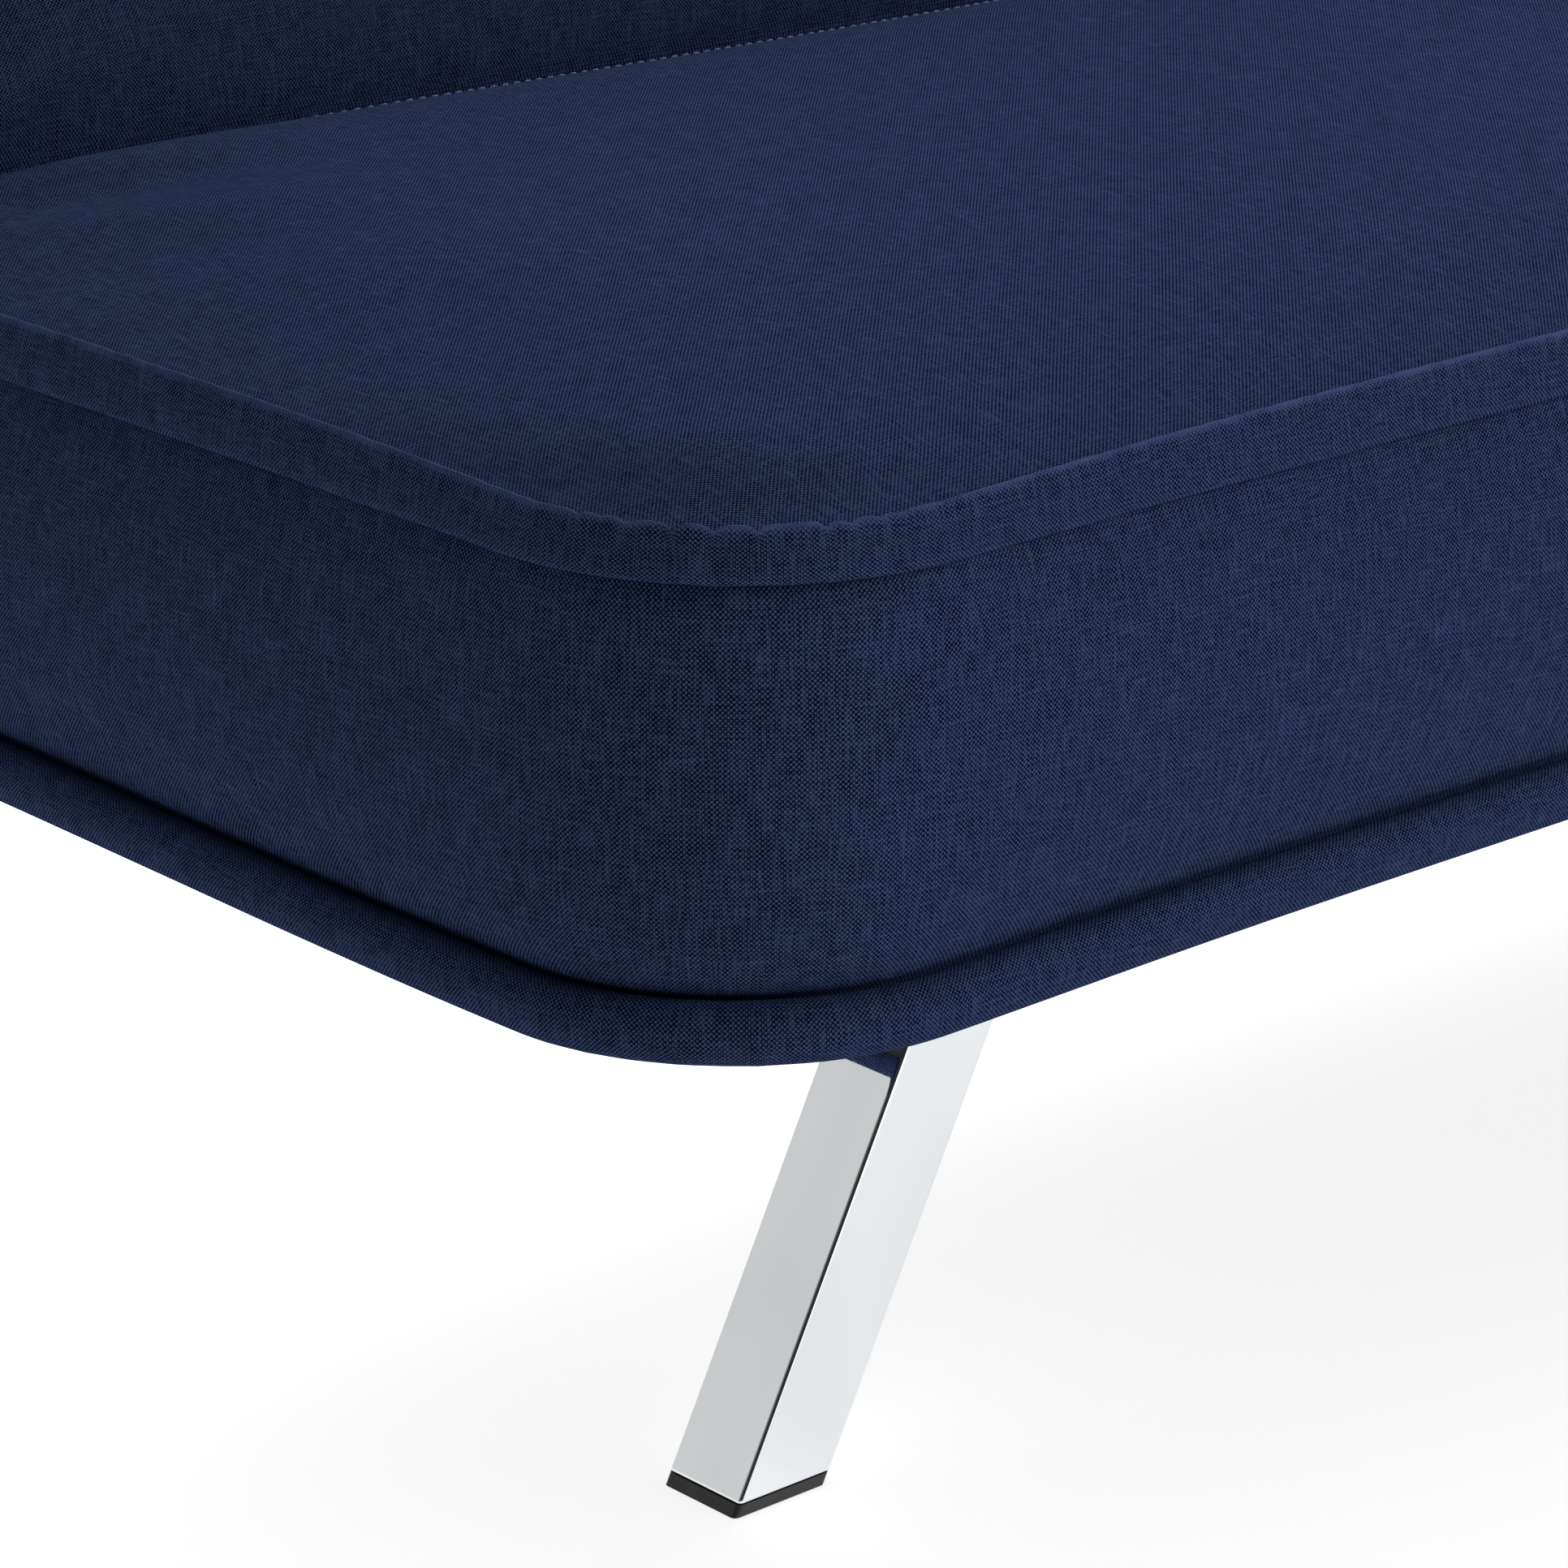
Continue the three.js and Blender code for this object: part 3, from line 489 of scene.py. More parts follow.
SEAM_INSET = 8 * MM  # plan inset of the top seam, which holds the top welt
SEAM_DROP = 9 * MM  # top seam below the pad's top edge
FOLD_DROP = 16 * MM  # the top panel rolls down this far at the fold
FOLD_ROLL = 26 * MM  # width of that roll
BOTTOM_SEAM_RISE = 16 * MM  # bottom seam above the pad's underside
BOTTOM_SEAM_INSET = 11 * MM
TURN_IN_RISE = 4 * MM  # where the cover turns in under the pad
BORDER_BULGE = 4 * MM  # how far the border swells out between its seams
CROWN = 17 * MM  # rise of the top panel above its seams
CROWN_REACH = 48 * MM  # how far in from the seams most of that rise is done
SIDE_SAG = 4.2 * MM  # most that a pad's lower edge hangs, some way along each side
CORNER_DROP = 4.5 * MM  # the top welt is pulled down at the plan corners


def side_sag(pad, points):
    """How far the lower edge hangs at points of the outline."""
    across = np.maximum(pad.half - np.abs(points[:, 0]) - 60 * MM, 0) / (110 * MM)
    along = (pad.far - points[:, 1] - 130 * MM) / (190 * MM)
    return SIDE_SAG * np.exp(-across ** 2 - along ** 2)


def corner_drop(pad, points):
    """How far the top welt is pulled down near the plan corners."""
    inset = 0.3 * OUTER_RADIUS
    reach = np.hypot(np.abs(points[:, 0]) - pad.half + inset, points[:, 1] - pad.far + inset)
    return CORNER_DROP * np.exp(-(reach / (115 * MM)) ** 2)


def seam_heights(pad, points, normals):
    share = fold_share(normals)
    return pad.top - SEAM_DROP - (FOLD_DROP - SEAM_DROP) * share - 0.6 * corner_drop(pad, points)


def coons(boundary, across, along):
    """A grid of points that fills a closed boundary of four sides."""
    fold = boundary[0:across + 1]
    right = boundary[across:across + along + 1]
    outer = boundary[across + along:2 * across + along + 1][::-1]
    left = np.vstack([boundary[2 * across + along:], boundary[:1]])[::-1]
    u = np.linspace(0, 1, across + 1)[None, :, None]
    v = np.linspace(0, 1, along + 1)[:, None, None]
    between = (1 - v) * fold[None] + v * outer[None] + (1 - u) * left[:, None] + u * right[:, None]
    corners = ((1 - u) * (1 - v) * fold[0] + u * (1 - v) * fold[-1]
               + (1 - u) * v * outer[0] + u * v * outer[-1])
    return between - corners


def edge_distance(pad, points):
    """Distance inside the pad's outline, measured to its three welted sides."""
    half_width = pad.half - OUTER_RADIUS
    x = np.abs(points[..., 0]) - half_width
    y = points[..., 1] - (pad.far - OUTER_RADIUS)
    outside = np.hypot(np.maximum(x, 0), np.maximum(y, 0))
    inside = np.minimum(np.maximum(x, y), 0)
    return OUTER_RADIUS - (outside + inside)


def raise_crown(pad, grid):
    """Lifts the top panel's grid: it rises from the welts, stays level, and rolls into the fold."""
    rows, columns = grid.shape[:2]
    low, high = grid[0, :, 1], grid[-1, :, 1]
    share = (grid[..., 1] - low) / (high - low)
    from_side = pad.half - np.abs(grid[..., 0])
    free = np.clip((from_side - 40 * MM) / (120 * MM), 0, 1)
    share += free * (share ** 1.4 - share)  # more rows near the fold, for its roll
    grid[..., 1] = low + share * (high - low)
    inner = np.maximum(edge_distance(pad, grid) - SEAM_INSET, 0)
    crowned = pad.top - SEAM_DROP + CROWN * (1 - np.exp(-(inner / CROWN_REACH) ** 2))
    from_fold = np.clip((grid[..., 1] - pad.near - bevel_shift(pad.top - FOLD_DROP)) / FOLD_ROLL, 0, 1)
    roll = np.sqrt(1 - (1 - from_fold) ** 2)
    lifted = pad.top - FOLD_DROP + (crowned - (pad.top - FOLD_DROP)) * roll
    inside = np.zeros((rows, columns), dtype=bool)
    inside[1:-1, 1:-1] = True
    sunk = 0.6 * corner_drop(pad, grid.reshape(-1, 3)).reshape(rows, columns)
    sunk *= np.exp(-inner / CROWN_REACH)
    grid[..., 2] = np.where(inside, lifted - sunk, grid[..., 2])


def grid_index(across, along):
    """Vertex numbers of a grid whose boundary is numbered as the outline runs."""
    index = -np.ones((along + 1, across + 1), dtype=int)
    index[0, :across] = np.arange(across)
    index[:along, across] = across + np.arange(along)
    index[along, across:0:-1] = across + along + np.arange(across)
    index[along:0:-1, 0] = 2 * across + along + np.arange(along)
    inner = index < 0
    return index, inner


def add_panel(boundary_start, next_free, across, along, flip):
    """Faces of a panel inside a ring that starts at boundary_start, and which grid points are new."""
    index, inner = grid_index(across, along)
    numbers = np.where(inner, 0, index + boundary_start)
    numbers[inner] = next_free + np.arange(inner.sum())
    faces = []
    for row in range(along):
        for column in range(across):
            face = [numbers[row, column], numbers[row, column + 1],
                    numbers[row + 1, column + 1], numbers[row + 1, column]]
            faces.append(face[::-1] if flip else face)
    return faces, inner


def border_rings(pad, points, normals):
    """Rings of the border, from the top seam to the turn-in under the pad, and their heights."""
    open_side = 1 - fold_share(normals)
    top_height = seam_heights(pad, points, normals)
    low_height = pad.bottom + BOTTOM_SEAM_RISE - side_sag(pad, points)
    rings, heights = [], []
    for row in range(BORDER_ROWS + 1):
        t = (1 - math.cos(math.pi * row / BORDER_ROWS)) / 2
        height = top_height + (low_height - top_height) * t
        tuck_top = (SEAM_INSET - 1 * MM) * np.exp(-(top_height - height) / (5 * MM))
        tuck_low = (BOTTOM_SEAM_INSET - 1 * MM) * np.exp(-(height - low_height) / (8 * MM))
        inset = 1 * MM + tuck_top + tuck_low - BORDER_BULGE * math.sin(math.pi * t)
        rings.append(ring(points, normals, inset * open_side, height))
        heights.append(height)
    heights.append(np.full(len(points), pad.bottom + TURN_IN_RISE))
    rings.append(ring(points, normals, (BOTTOM_SEAM_INSET + 2 * MM) * open_side, heights[-1]))
    return rings, heights


def border_uvs(heights, lengths):
    """UVs of the border's faces: the run round the pad, and the height."""
    count = len(heights[0])
    uvs = []
    for upper, lower in zip(heights, heights[1:]):
        for step in range(count):
            after = (step + 1) % count
            u0, u1 = lengths[step], lengths[step + 1]
            uvs += [(u0, upper[step]), (u0, lower[step]), (u1, lower[after]), (u1, upper[after])]
    return uvs


def cover_mesh(pad):
    """The pad's cover before it is inflated, and the points that stay put: seams and fold wall."""
    across, along = GRID_X, GRID_Y
    points, normals = pad_outline(pad, across, along)
    count = len(points)
    rings, heights = border_rings(pad, points, normals)
    vertices = list(np.vstack(rings))
    faces = wall_faces(len(rings), count, flip=True)
    uvs = border_uvs(heights, arc_lengths(points))
    top_grid = coons(rings[0], across, along)
    raise_crown(pad, top_grid)
    panel, inner = add_panel(0, len(vertices), across, along, flip=False)
    vertices += list(top_grid[inner])
    low_start = (len(rings) - 1) * count
    low_grid = coons(rings[-1], across, along)
    base, low_inner = add_panel(low_start, len(vertices), across, along, flip=True)
    vertices += list(low_grid[low_inner])
    faces += panel + base
    for face in panel + base:
        uvs += [(vertices[corner][0], vertices[corner][1]) for corner in face]
    obj = make_object(f"{pad.name}_cover_fabric", vertices, faces, uvs)
    seams = list(range(count)) + list(range(BORDER_ROWS * count, len(rings) * count))
    underside = list(range(len(vertices) - int(low_inner.sum()), len(vertices)))
    facing_fold = fold_share(normals) > 0.5
    fold_wall = [row * count + step for row in range(len(rings)) for step in range(count)
                 if facing_fold[step]]
    return obj, set(seams + underside + fold_wall)


def inflate(obj, pinned, pressure, cap, frames=20):
    """Blows the cover up as cloth held at its seams; no point moves further than cap."""
    start = get_points(obj)
    group = obj.vertex_groups.new(name="held")
    group.add(sorted(int(p) for p in pinned), 1.0, "REPLACE")
    modifier = obj.modifiers.new("cloth", "CLOTH")
    cloth = modifier.settings
    cloth.quality = 6
    cloth.mass = 0.35
    cloth.tension_stiffness = 40
    cloth.compression_stiffness = 12
    cloth.shear_stiffness = 12
    cloth.bending_stiffness = 2.5
    cloth.air_damping = 3
    cloth.vertex_group_mass = "held"
    cloth.use_pressure = True
    cloth.uniform_pressure_force = pressure
    cloth.effector_weights.gravity = 0
    modifier.collision_settings.use_collision = False
    modifier.point_cache.frame_start = 1
    modifier.point_cache.frame_end = frames
    scene = bpy.context.scene
    for step in range(1, frames + 1):
        scene.frame_set(step)
    evaluated = obj.evaluated_get(bpy.context.evaluated_depsgraph_get())
    mesh = evaluated.to_mesh()
    flat = np.empty(len(mesh.vertices) * 3, dtype=np.float32)
    mesh.vertices.foreach_get("co", flat)
    evaluated.to_mesh_clear()
    obj.modifiers.remove(modifier)
    obj.vertex_groups.clear()
    scene.frame_set(1)
    move = flat.reshape(-1, 3).astype(float) - start
    length = np.linalg.norm(move, axis=1)
    limited = cap * np.tanh(length / cap)
    move *= (limited / np.maximum(length, 1e-9))[:, None]
    set_points(obj, start + move)


def finish_piece(obj, pad, material, body):
    obj.data.transform(pad.matrix)
    obj.data.materials.clear()
    obj.data.materials.append(material)
    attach(obj, body)


def slot_block(pad, side):
    """The room that the hinge arms and ratchet need in a pad, as a closed block."""
    turn = math.acos(SLOT_DEPTH / SLOT_RADIUS)
    arc = np.linspace(-turn, math.pi + turn, 25)
    profile = [(SLOT_RADIUS * math.cos(a), SLOT_RADIUS * math.sin(a)) for a in arc]
    profile += [(-SLOT_DEPTH, pad.bottom - 20 * MM), (SLOT_DEPTH, pad.bottom - 20 * MM)]
    count = len(profile)
    vertices = [(side * x, y, z) for x in (SLOT_NEAR, SLOT_FAR) for y, z in profile]
    faces = [[k, (k + 1) % count, count + (k + 1) % count, count + k] for k in range(count)]
    faces += [list(range(count))[::-1], list(range(count, 2 * count))]
    if side < 0:
        faces = [face[::-1] for face in faces]
    return make_object(f"slot_{pad.name}", vertices, faces, smooth=False)


def cut_slots(obj, pad):
    for side in (-1, 1):
        block = slot_block(pad, side)
        modifier = obj.modifiers.new("slot", "BOOLEAN")
        modifier.operation = "DIFFERENCE"
        modifier.solver = "EXACT"
        modifier.object = block
        apply_modifiers(obj)
        bpy.data.objects.remove(block)


def build_cover(pad, body):
    obj, pinned = cover_mesh(pad)
    inflate(obj, pinned, pressure=3.0, cap=6 * MM)
    subdivide(obj, 1)
    cut_slots(obj, pad)
    finish_piece(obj, pad, FABRIC, body)
    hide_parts(f"{pad.name}_cover", f"{pad.name}_foam")


# ---- Welts -----------------------------------------------------------------------------------

def welt_path(pad, step):
    """Outline points and normals from one end of the fold, round the three open sides."""
    across = int(2 * pad.half / step)
    along = int((pad.far - pad.near) / step)
    points, normals = pad_outline(pad, across, along)
    points = np.roll(points, -across, axis=0)
    normals = np.roll(normals, -across, axis=0)
    points, normals = points[:across + 2 * along + 1], normals[:across + 2 * along + 1]
    clear = normals[:, 1] > -0.05  # the welt stops where the outline turns to face the fold
    return points[clear], normals[clear]


def corner_share(normals):
    """1 in the middle of a plan corner, 0 on the straights."""
    return 2 * np.abs(normals[:, 0] * normals[:, 1])


def sweep(name, centres, normals, section, shape):
    """A closed bar whose section is drawn in (outward, up) and changed by shape(index, section)."""
    vertices, uvs = [], []
    count = len(section)
    stations = len(centres)
    runs = np.concatenate([[0], np.cumsum(np.linalg.norm(np.diff(centres, axis=0), axis=1))])
    girth = arc_lengths(section)
    for station in range(stations):
        local = shape(station, section)
        outward = np.array([normals[station][0], normals[station][1], 0.0])
        for n, z in local:
            vertices.append(centres[station] + outward * n + np.array([0, 0, z]))
    for run, next_run in zip(runs, runs[1:]):
        for low, high in zip(girth, girth[1:]):
            uvs += [(run, low), (next_run, low), (next_run, high), (run, high)]
    faces = wall_faces(stations, count, flip=True)
    first = list(range(count))
    last = [(stations - 1) * count + side for side in range(count)]
    for cap in (first, last[::-1]):
        faces.append(cap)
        uvs += [(vertices[c][0], vertices[c][2]) for c in cap]
    return make_object(name, vertices, faces, uvs)


def smooth_section(corners, per_corner):
    """A closed curve that rounds off a polygon."""
    corners = np.array(corners, dtype=float)
    count = len(corners)
    curve = []
    for index in range(count):
        before = (corners[index - 1] + corners[index]) / 2
        after = (corners[index] + corners[(index + 1) % count]) / 2
        for step in range(per_corner):
            t = step / per_corner
            curve.append((1 - t) ** 2 * before + 2 * t * (1 - t) * corners[index] + t ** 2 * after)
    return np.array(curve)


def ripple(place, seed, waves):
    """A sum of a few sines of different lengths, between about -1 and 1."""
    total = np.zeros_like(place)
    for number, (length, share) in enumerate(waves):
        total += share * np.sin(2 * math.pi * place / length + seed * 1.7 + number * 2.1)
    return total


# Welt sections, (outward, up) in mm from the seam line
TOP_WELT = [(-7, -12), (-4.6, -3), (-4, 2), (-3.3, 4.2), (-1.9, 4.4), (-0.8, 2), (0.6, -3), (1.9, -9),
            (2.3, -13), (1.4, -15.2), (-1.5, -15), (-5, -14)]
BOTTOM_WELT = [(-14, -1.5), (-8, -3), (-1.5, -1), (1.8, 6), (0.8, 13), (-3.5, 17.8), (-9, 17), (-14, 12),
               (-15, 5)]


def notches(distance, gather):
    """Small pleats, crowded where the welt is gathered round a corner."""
    draw = np.random.default_rng(7)
    depth = np.zeros_like(distance)
    place = 0.0
    while place < distance[-1]:
        place += draw.uniform(7, 21) * MM
        width = draw.uniform(1.3, 2.6) * MM
        size = draw.uniform(0.3, 1.0)
        depth += size * np.exp(-((distance - place) / width) ** 2)
    return depth * gather


def welt_shape(outline, size, lift, wave, crease, notch):
    """A welt's section at one place: scaled, drawn up to its seam, rippled and notched."""
    local = outline * size
    local[:, 1] += lift * np.clip(-local[:, 1] / (14 * MM), 0, 1)
    upper = np.clip(local[:, 1] / (5 * MM), 0, 1)
    rim = np.exp(-((local[:, 1] - 4.5 * MM) / (4 * MM)) ** 2)
    result = local.copy()
    result[:, 0] += wave + crease * 0.8 + 1.5 * notch * rim
    result[:, 1] += wave * 0.5 + crease * upper * 0.7 - 2.0 * notch * rim
    result[:, 1] += 0.6 * crease * (local[:, 1] < -11 * MM)
    return result


def build_welt(pad, body, name, corners, height, pucker, drop):
    """A welt round the pad's three open sides, gathered at the two outer corners by pucker."""
    path, normals = welt_path(pad, (2.5 if pucker > 0.5 * MM else 5) * MM)
    section = smooth_section(np.array(corners) * MM, per_corner=3)
    distance = np.concatenate([[0], np.cumsum(np.linalg.norm(np.diff(path, axis=0), axis=1))])
    outer_side = path[:, 1] > (pad.near + pad.far) / 2
    gather = corner_share(normals) * outer_side
    notch = pucker * notches(distance, 0.12 + gather)
    small = ripple(distance, 1.0, ((0.0110, 0.5), (0.0167, 0.5), (0.043, 0.3)))
    wave = 0.25 * MM * ripple(distance, 2.0, ((0.21, 0.5), (0.083, 0.3), (0.37, 0.5)))
    crease = 0.5 * pucker * gather * small
    share = fold_share(normals)
    heights = height - drop(path, share)
    centres = np.column_stack([path[:, 0], path[:, 1] + bevel_shift(heights) * share, heights])
    from_end = np.minimum(distance, distance[-1] - distance)
    size = 0.5 + 0.5 * np.clip(from_end / (30 * MM), 0, 1) ** 0.5
    lift = 0.65 * (height - heights - (FOLD_DROP - SEAM_DROP) * share * (height > 0))

    def shape(place, outline):
        return welt_shape(outline, size[place], lift[place], wave[place], crease[place], notch[place])

    obj = sweep(f"{pad.name}_{name}", centres, normals, section, shape)
    # Painted highlight and wear: the top welt's crest is made lighter, as where it is rubbed and where light
    # catches its rim. The bottom welts get none.
    rubbed_and_highlit = np.exp(-((section[:, 1] - section[:, 1].max()) / (1.2 * MM)) ** 2) * (height > 0)
    wear = obj.data.attributes.new(RIM_WEAR_AND_HIGHLIGHT, "FLOAT", "POINT")
    wear.data.foreach_set("value", np.tile(rubbed_and_highlit, len(path)).astype(np.float32))
    finish_piece(obj, pad, FABRIC, body)


# ---- Topstitch, dust covers and the fold -----------------------------------------------------

STITCH_PITCH = 5 * MM
STITCH_LENGTH = 3.5 * MM
STITCH_RADIUS = 0.45 * MM
STITCH_TURN = math.radians(14)  # the row runs where the top panel has turned down this far
STITCH_TURN_ENDS = math.radians(30)  # near the pad's ends it runs further round the fold
STITCH_ENDS = 260 * MM  # how long those end runs are
STITCH_SIDES = 6
STITCH_RINGS = ((-0.5, 0.15), (-0.36, 0.85), (0, 1.0), (0.36, 0.85), (0.5, 0.15))  # place, size
LINING_EDGE = 16 * MM  # the linings stop this far inside the pad's outline


def surface_tree(obj):
    return BVHTree.FromObject(obj, bpy.context.evaluated_depsgraph_get())


def turned_down(cover, pad, x, turn):
    """The place, in the pad's frame, where the top panel has turned down by an angle at the fold."""
    rotation = pad.matrix.to_3x3()
    down = rotation @ Vector((0, 0, -1))
    towards_fold = rotation @ Vector((0, -1, 0))
    start = pad.near + bevel_shift(pad.top)
    for step in range(60, 0, -1):
        y = start + step * MM
        hit, normal, _, _ = cover.ray_cast(pad.matrix @ Vector((x, y, pad.top + 0.1)), down)
        if hit is not None and normal.dot(towards_fold) > math.sin(turn):
            break
    return y


def add_stitch(vertices, faces, middle, normal, along):
    """One stitch: a short rounded bar that dips into the cover at both ends."""
    side = normal.cross(along).normalized()
    first = len(vertices)
    for place, size in STITCH_RINGS:
        sink = 0.6 * STITCH_RADIUS * (2 * place) ** 2
        centre = middle + along * place * STITCH_LENGTH + normal * (0.5 * STITCH_RADIUS - sink)
        for corner in range(STITCH_SIDES):
            angle = 2 * math.pi * corner / STITCH_SIDES
            off = side * math.cos(angle) + normal * math.sin(angle)
            vertices.append(centre + off * STITCH_RADIUS * size)
    last = first + STITCH_SIDES * (len(STITCH_RINGS) - 1)
    faces += wall_faces(len(STITCH_RINGS), STITCH_SIDES, first)
    faces.append([first + corner for corner in range(STITCH_SIDES)][::-1])
    faces.append([last + corner for corner in range(STITCH_SIDES)])


def build_topstitch(pad, body):
    """The row of stitches where the pad's cover turns into the fold."""
    cover = surface_tree(bpy.data.objects[f"{pad.name}_cover_fabric"])
    down = pad.matrix.to_3x3() @ Vector((0, 0, -1))
    along = pad.matrix.to_3x3() @ Vector((1, 0, 0))
    reach = pad.half - FOLD_RADIUS - 30 * MM
    places = -reach + (np.arange(int(2 * reach / STITCH_PITCH)) + 0.5) * STITCH_PITCH
    ends = np.clip((np.abs(places) - pad.half + STITCH_ENDS) / (80 * MM), 0, 1)
    turns = STITCH_TURN + (STITCH_TURN_ENDS - STITCH_TURN) * ends
    row = np.array([turned_down(cover, pad, x, turn) for x, turn in zip(places, turns)])
    row = np.convolve(np.pad(row, 6, mode="edge"), np.full(13, 1 / 13), mode="valid")
    vertices, faces = [], []
    for x, y in zip(places, row):
        hit, normal, _, _ = cover.ray_cast(pad.matrix @ Vector((x, y, pad.top + 0.1)), down)
        if hit is not None:
            add_stitch(vertices, faces, hit, normal, along)
    obj = make_object(f"{pad.name}_topstitch", vertices, faces)
    obj.data.materials.append(STITCH)
    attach(obj, body)


def lining_lines(pad):
    """Grid lines of a pad's lining, some of them along the sides of the hinge slots."""
    xs = [-pad.half + LINING_EDGE, -SLOT_FAR, -SLOT_NEAR, SLOT_NEAR, SLOT_FAR, pad.half - LINING_EDGE]
    columns = np.concatenate([np.linspace(a, b, max(2, int((b - a) / (24 * MM)) + 1))[:-1]
                              for a, b in zip(xs, xs[1:])] + [[xs[-1]]])
    rows = np.concatenate([[pad.near + LINING_EDGE, SLOT_DEPTH],
                           np.linspace(SLOT_DEPTH, pad.far - LINING_EDGE, 22)[1:]])
    return columns, rows


def past_corner(pad, x, y):
    """How far a point lies beyond the centre of the nearest outer corner, sideways and outwards."""
    return np.array([max(abs(x) - (pad.half - OUTER_RADIUS), 0), max(y - (pad.far - OUTER_RADIUS), 0)])


def in_lining(pad, x, y):
    in_slot = SLOT_NEAR < abs(x) < SLOT_FAR and y < SLOT_DEPTH
    return not in_slot and np.hypot(*past_corner(pad, x, y)) < OUTER_RADIUS - LINING_EDGE


def lining_point(pad, x, y, layer):
    """A point of the lining's lower (0) or upper (1) face, drawn in to the round corners."""
    over = past_corner(pad, x, y)
    length = float(np.hypot(*over))
    if length > OUTER_RADIUS - LINING_EDGE:
        pull = over * (1 - (OUTER_RADIUS - LINING_EDGE) / length)
        x -= math.copysign(pull[0], x)
        y -= pull[1]
    wave = 0.35 * MM * math.sin(x * 41 + 1.3 * math.sin(y * 23)) * math.sin(y * 57 + x * 9)
    return x, y, pad.bottom + 1.2 * MM + wave + layer * 0.8 * MM


def build_dust_cover(pad, body):
    """The lining stapled under the pad, notched round the hinge arms."""
    columns, rows = lining_lines(pad)
    cells = [(i, j) for j in range(len(rows) - 1) for i in range(len(columns) - 1)
             if in_lining(pad, (columns[i] + columns[i + 1]) / 2, (rows[j] + rows[j + 1]) / 2)]
    kept = set(cells)
    numbers, vertices, faces = {}, [], []

    def corner(i, j, layer):
        key = (i, j, layer)
        if key not in numbers:
            numbers[key] = len(vertices)
            vertices.append(lining_point(pad, columns[i], rows[j], layer))
        return numbers[key]

    for i, j in cells:
        around = [(i, j), (i + 1, j), (i + 1, j + 1), (i, j + 1)]
        faces.append([corner(*place, 1) for place in around])
        faces.append([corner(*place, 0) for place in around][::-1])
        neighbours = ((i, j - 1), (i + 1, j), (i, j + 1), (i - 1, j))
        for side, neighbour in enumerate(neighbours):
            if neighbour not in kept:
                a, b = around[side], around[(side + 1) % 4]
                faces.append([corner(*a, 0), corner(*b, 0), corner(*b, 1), corner(*a, 1)])
    obj = make_object(f"{pad.name}_lining", vertices, faces)
    finish_piece(obj, pad, LINING, body)
    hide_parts(f"{pad.name}_dust_cover")


def gusset_section():
    """A narrow U, (across, up) from the pivot line: two walls and the turn between them."""
    outer, inner = 1.4 * MM, 0.7 * MM
    depth = SEAT.top - FOLD_DROP - 3 * MM
    bend = [(math.pi + math.pi * step / 6) for step in range(1, 6)]
    section = [(-outer, depth), (-outer, 0)]
    section += [(outer * math.cos(a), outer * math.sin(a)) for a in bend]
    section += [(outer, 0), (outer, depth), (inner, depth), (inner, 0)]
    section += [(inner * math.cos(a), inner * math.sin(a)) for a in bend[::-1]]
    return section + [(-inner, 0), (-inner, depth)]


def build_gusset_run(name, start, stop):
    """One run of the folded strip of fabric that joins the two pads down in the fold."""
    section = gusset_section()
    girth = arc_lengths(np.array(section))
    count = len(section)
    across = Vector((0, math.cos(BEVEL), math.sin(BEVEL)))
    up = Vector((0, -math.sin(BEVEL), math.cos(BEVEL)))
    xs = np.linspace(start, stop, max(2, int((stop - start) / (12 * MM))))
    vertices = [PIVOT + Vector((x, 0, 0)) + across * n + up * z for x in xs for n, z in section]
    faces = wall_faces(len(xs), count)
    uvs = []
    for x, next_x in zip(xs, xs[1:]):
        for low, high in zip(girth, girth[1:]):
            uvs += [(x, low), (x, high), (next_x, high), (next_x, low)]
    for cap in (list(range(count))[::-1], [(len(xs) - 1) * count + k for k in range(count)]):
        faces.append(cap)
        uvs += [(vertices[k][1], vertices[k][2]) for k in cap]
    obj = make_object(f"fold_gusset_{name}", vertices, faces, uvs, smooth=False)
    obj.data.materials.append(FABRIC)
    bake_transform(obj)


def build_gussets():
    """The strip runs between the hinge slots and beyond them."""
    end = SEAT.half - FOLD_RADIUS - 4 * MM
    build_gusset_run("left", -end, -SLOT_FAR)
    build_gusset_run("middle", -SLOT_NEAR, SLOT_NEAR)
    build_gusset_run("right", SLOT_FAR, end)


# ---- Legs ------------------------------------------------------------------------------------

LEG_TUBE = 35 * MM
LEG_CORNER = 1.5 * MM
LEG_SPLAY = math.radians(27.3)
LEG_CORNER_STEPS = 6
LEG_BENCH = 0.5 * MM  # support point beside each corner, to keep the faces looking flat


def leg_section():
    """A rounded square with its corners finely divided."""
    half = LEG_TUBE / 2
    centre = half - LEG_CORNER
    points = []
    for quadrant in range(4):
        start = quadrant * math.pi / 2
        cx = centre * (1 if quadrant in (0, 3) else -1)
        cy = centre * (1 if quadrant in (0, 1) else -1)
        arc = [start + math.pi / 2 * step / LEG_CORNER_STEPS for step in range(LEG_CORNER_STEPS + 1)]
        corner = [(cx + LEG_CORNER * math.cos(a), cy + LEG_CORNER * math.sin(a)) for a in arc]
        before = (corner[0][0] + LEG_BENCH * math.sin(start), corner[0][1] - LEG_BENCH * math.cos(start))
        turned = start + math.pi / 2
        after = (corner[-1][0] - LEG_BENCH * math.sin(turned),
                 corner[-1][1] + LEG_BENCH * math.cos(turned))
        points += [before, *corner, after]
    return points


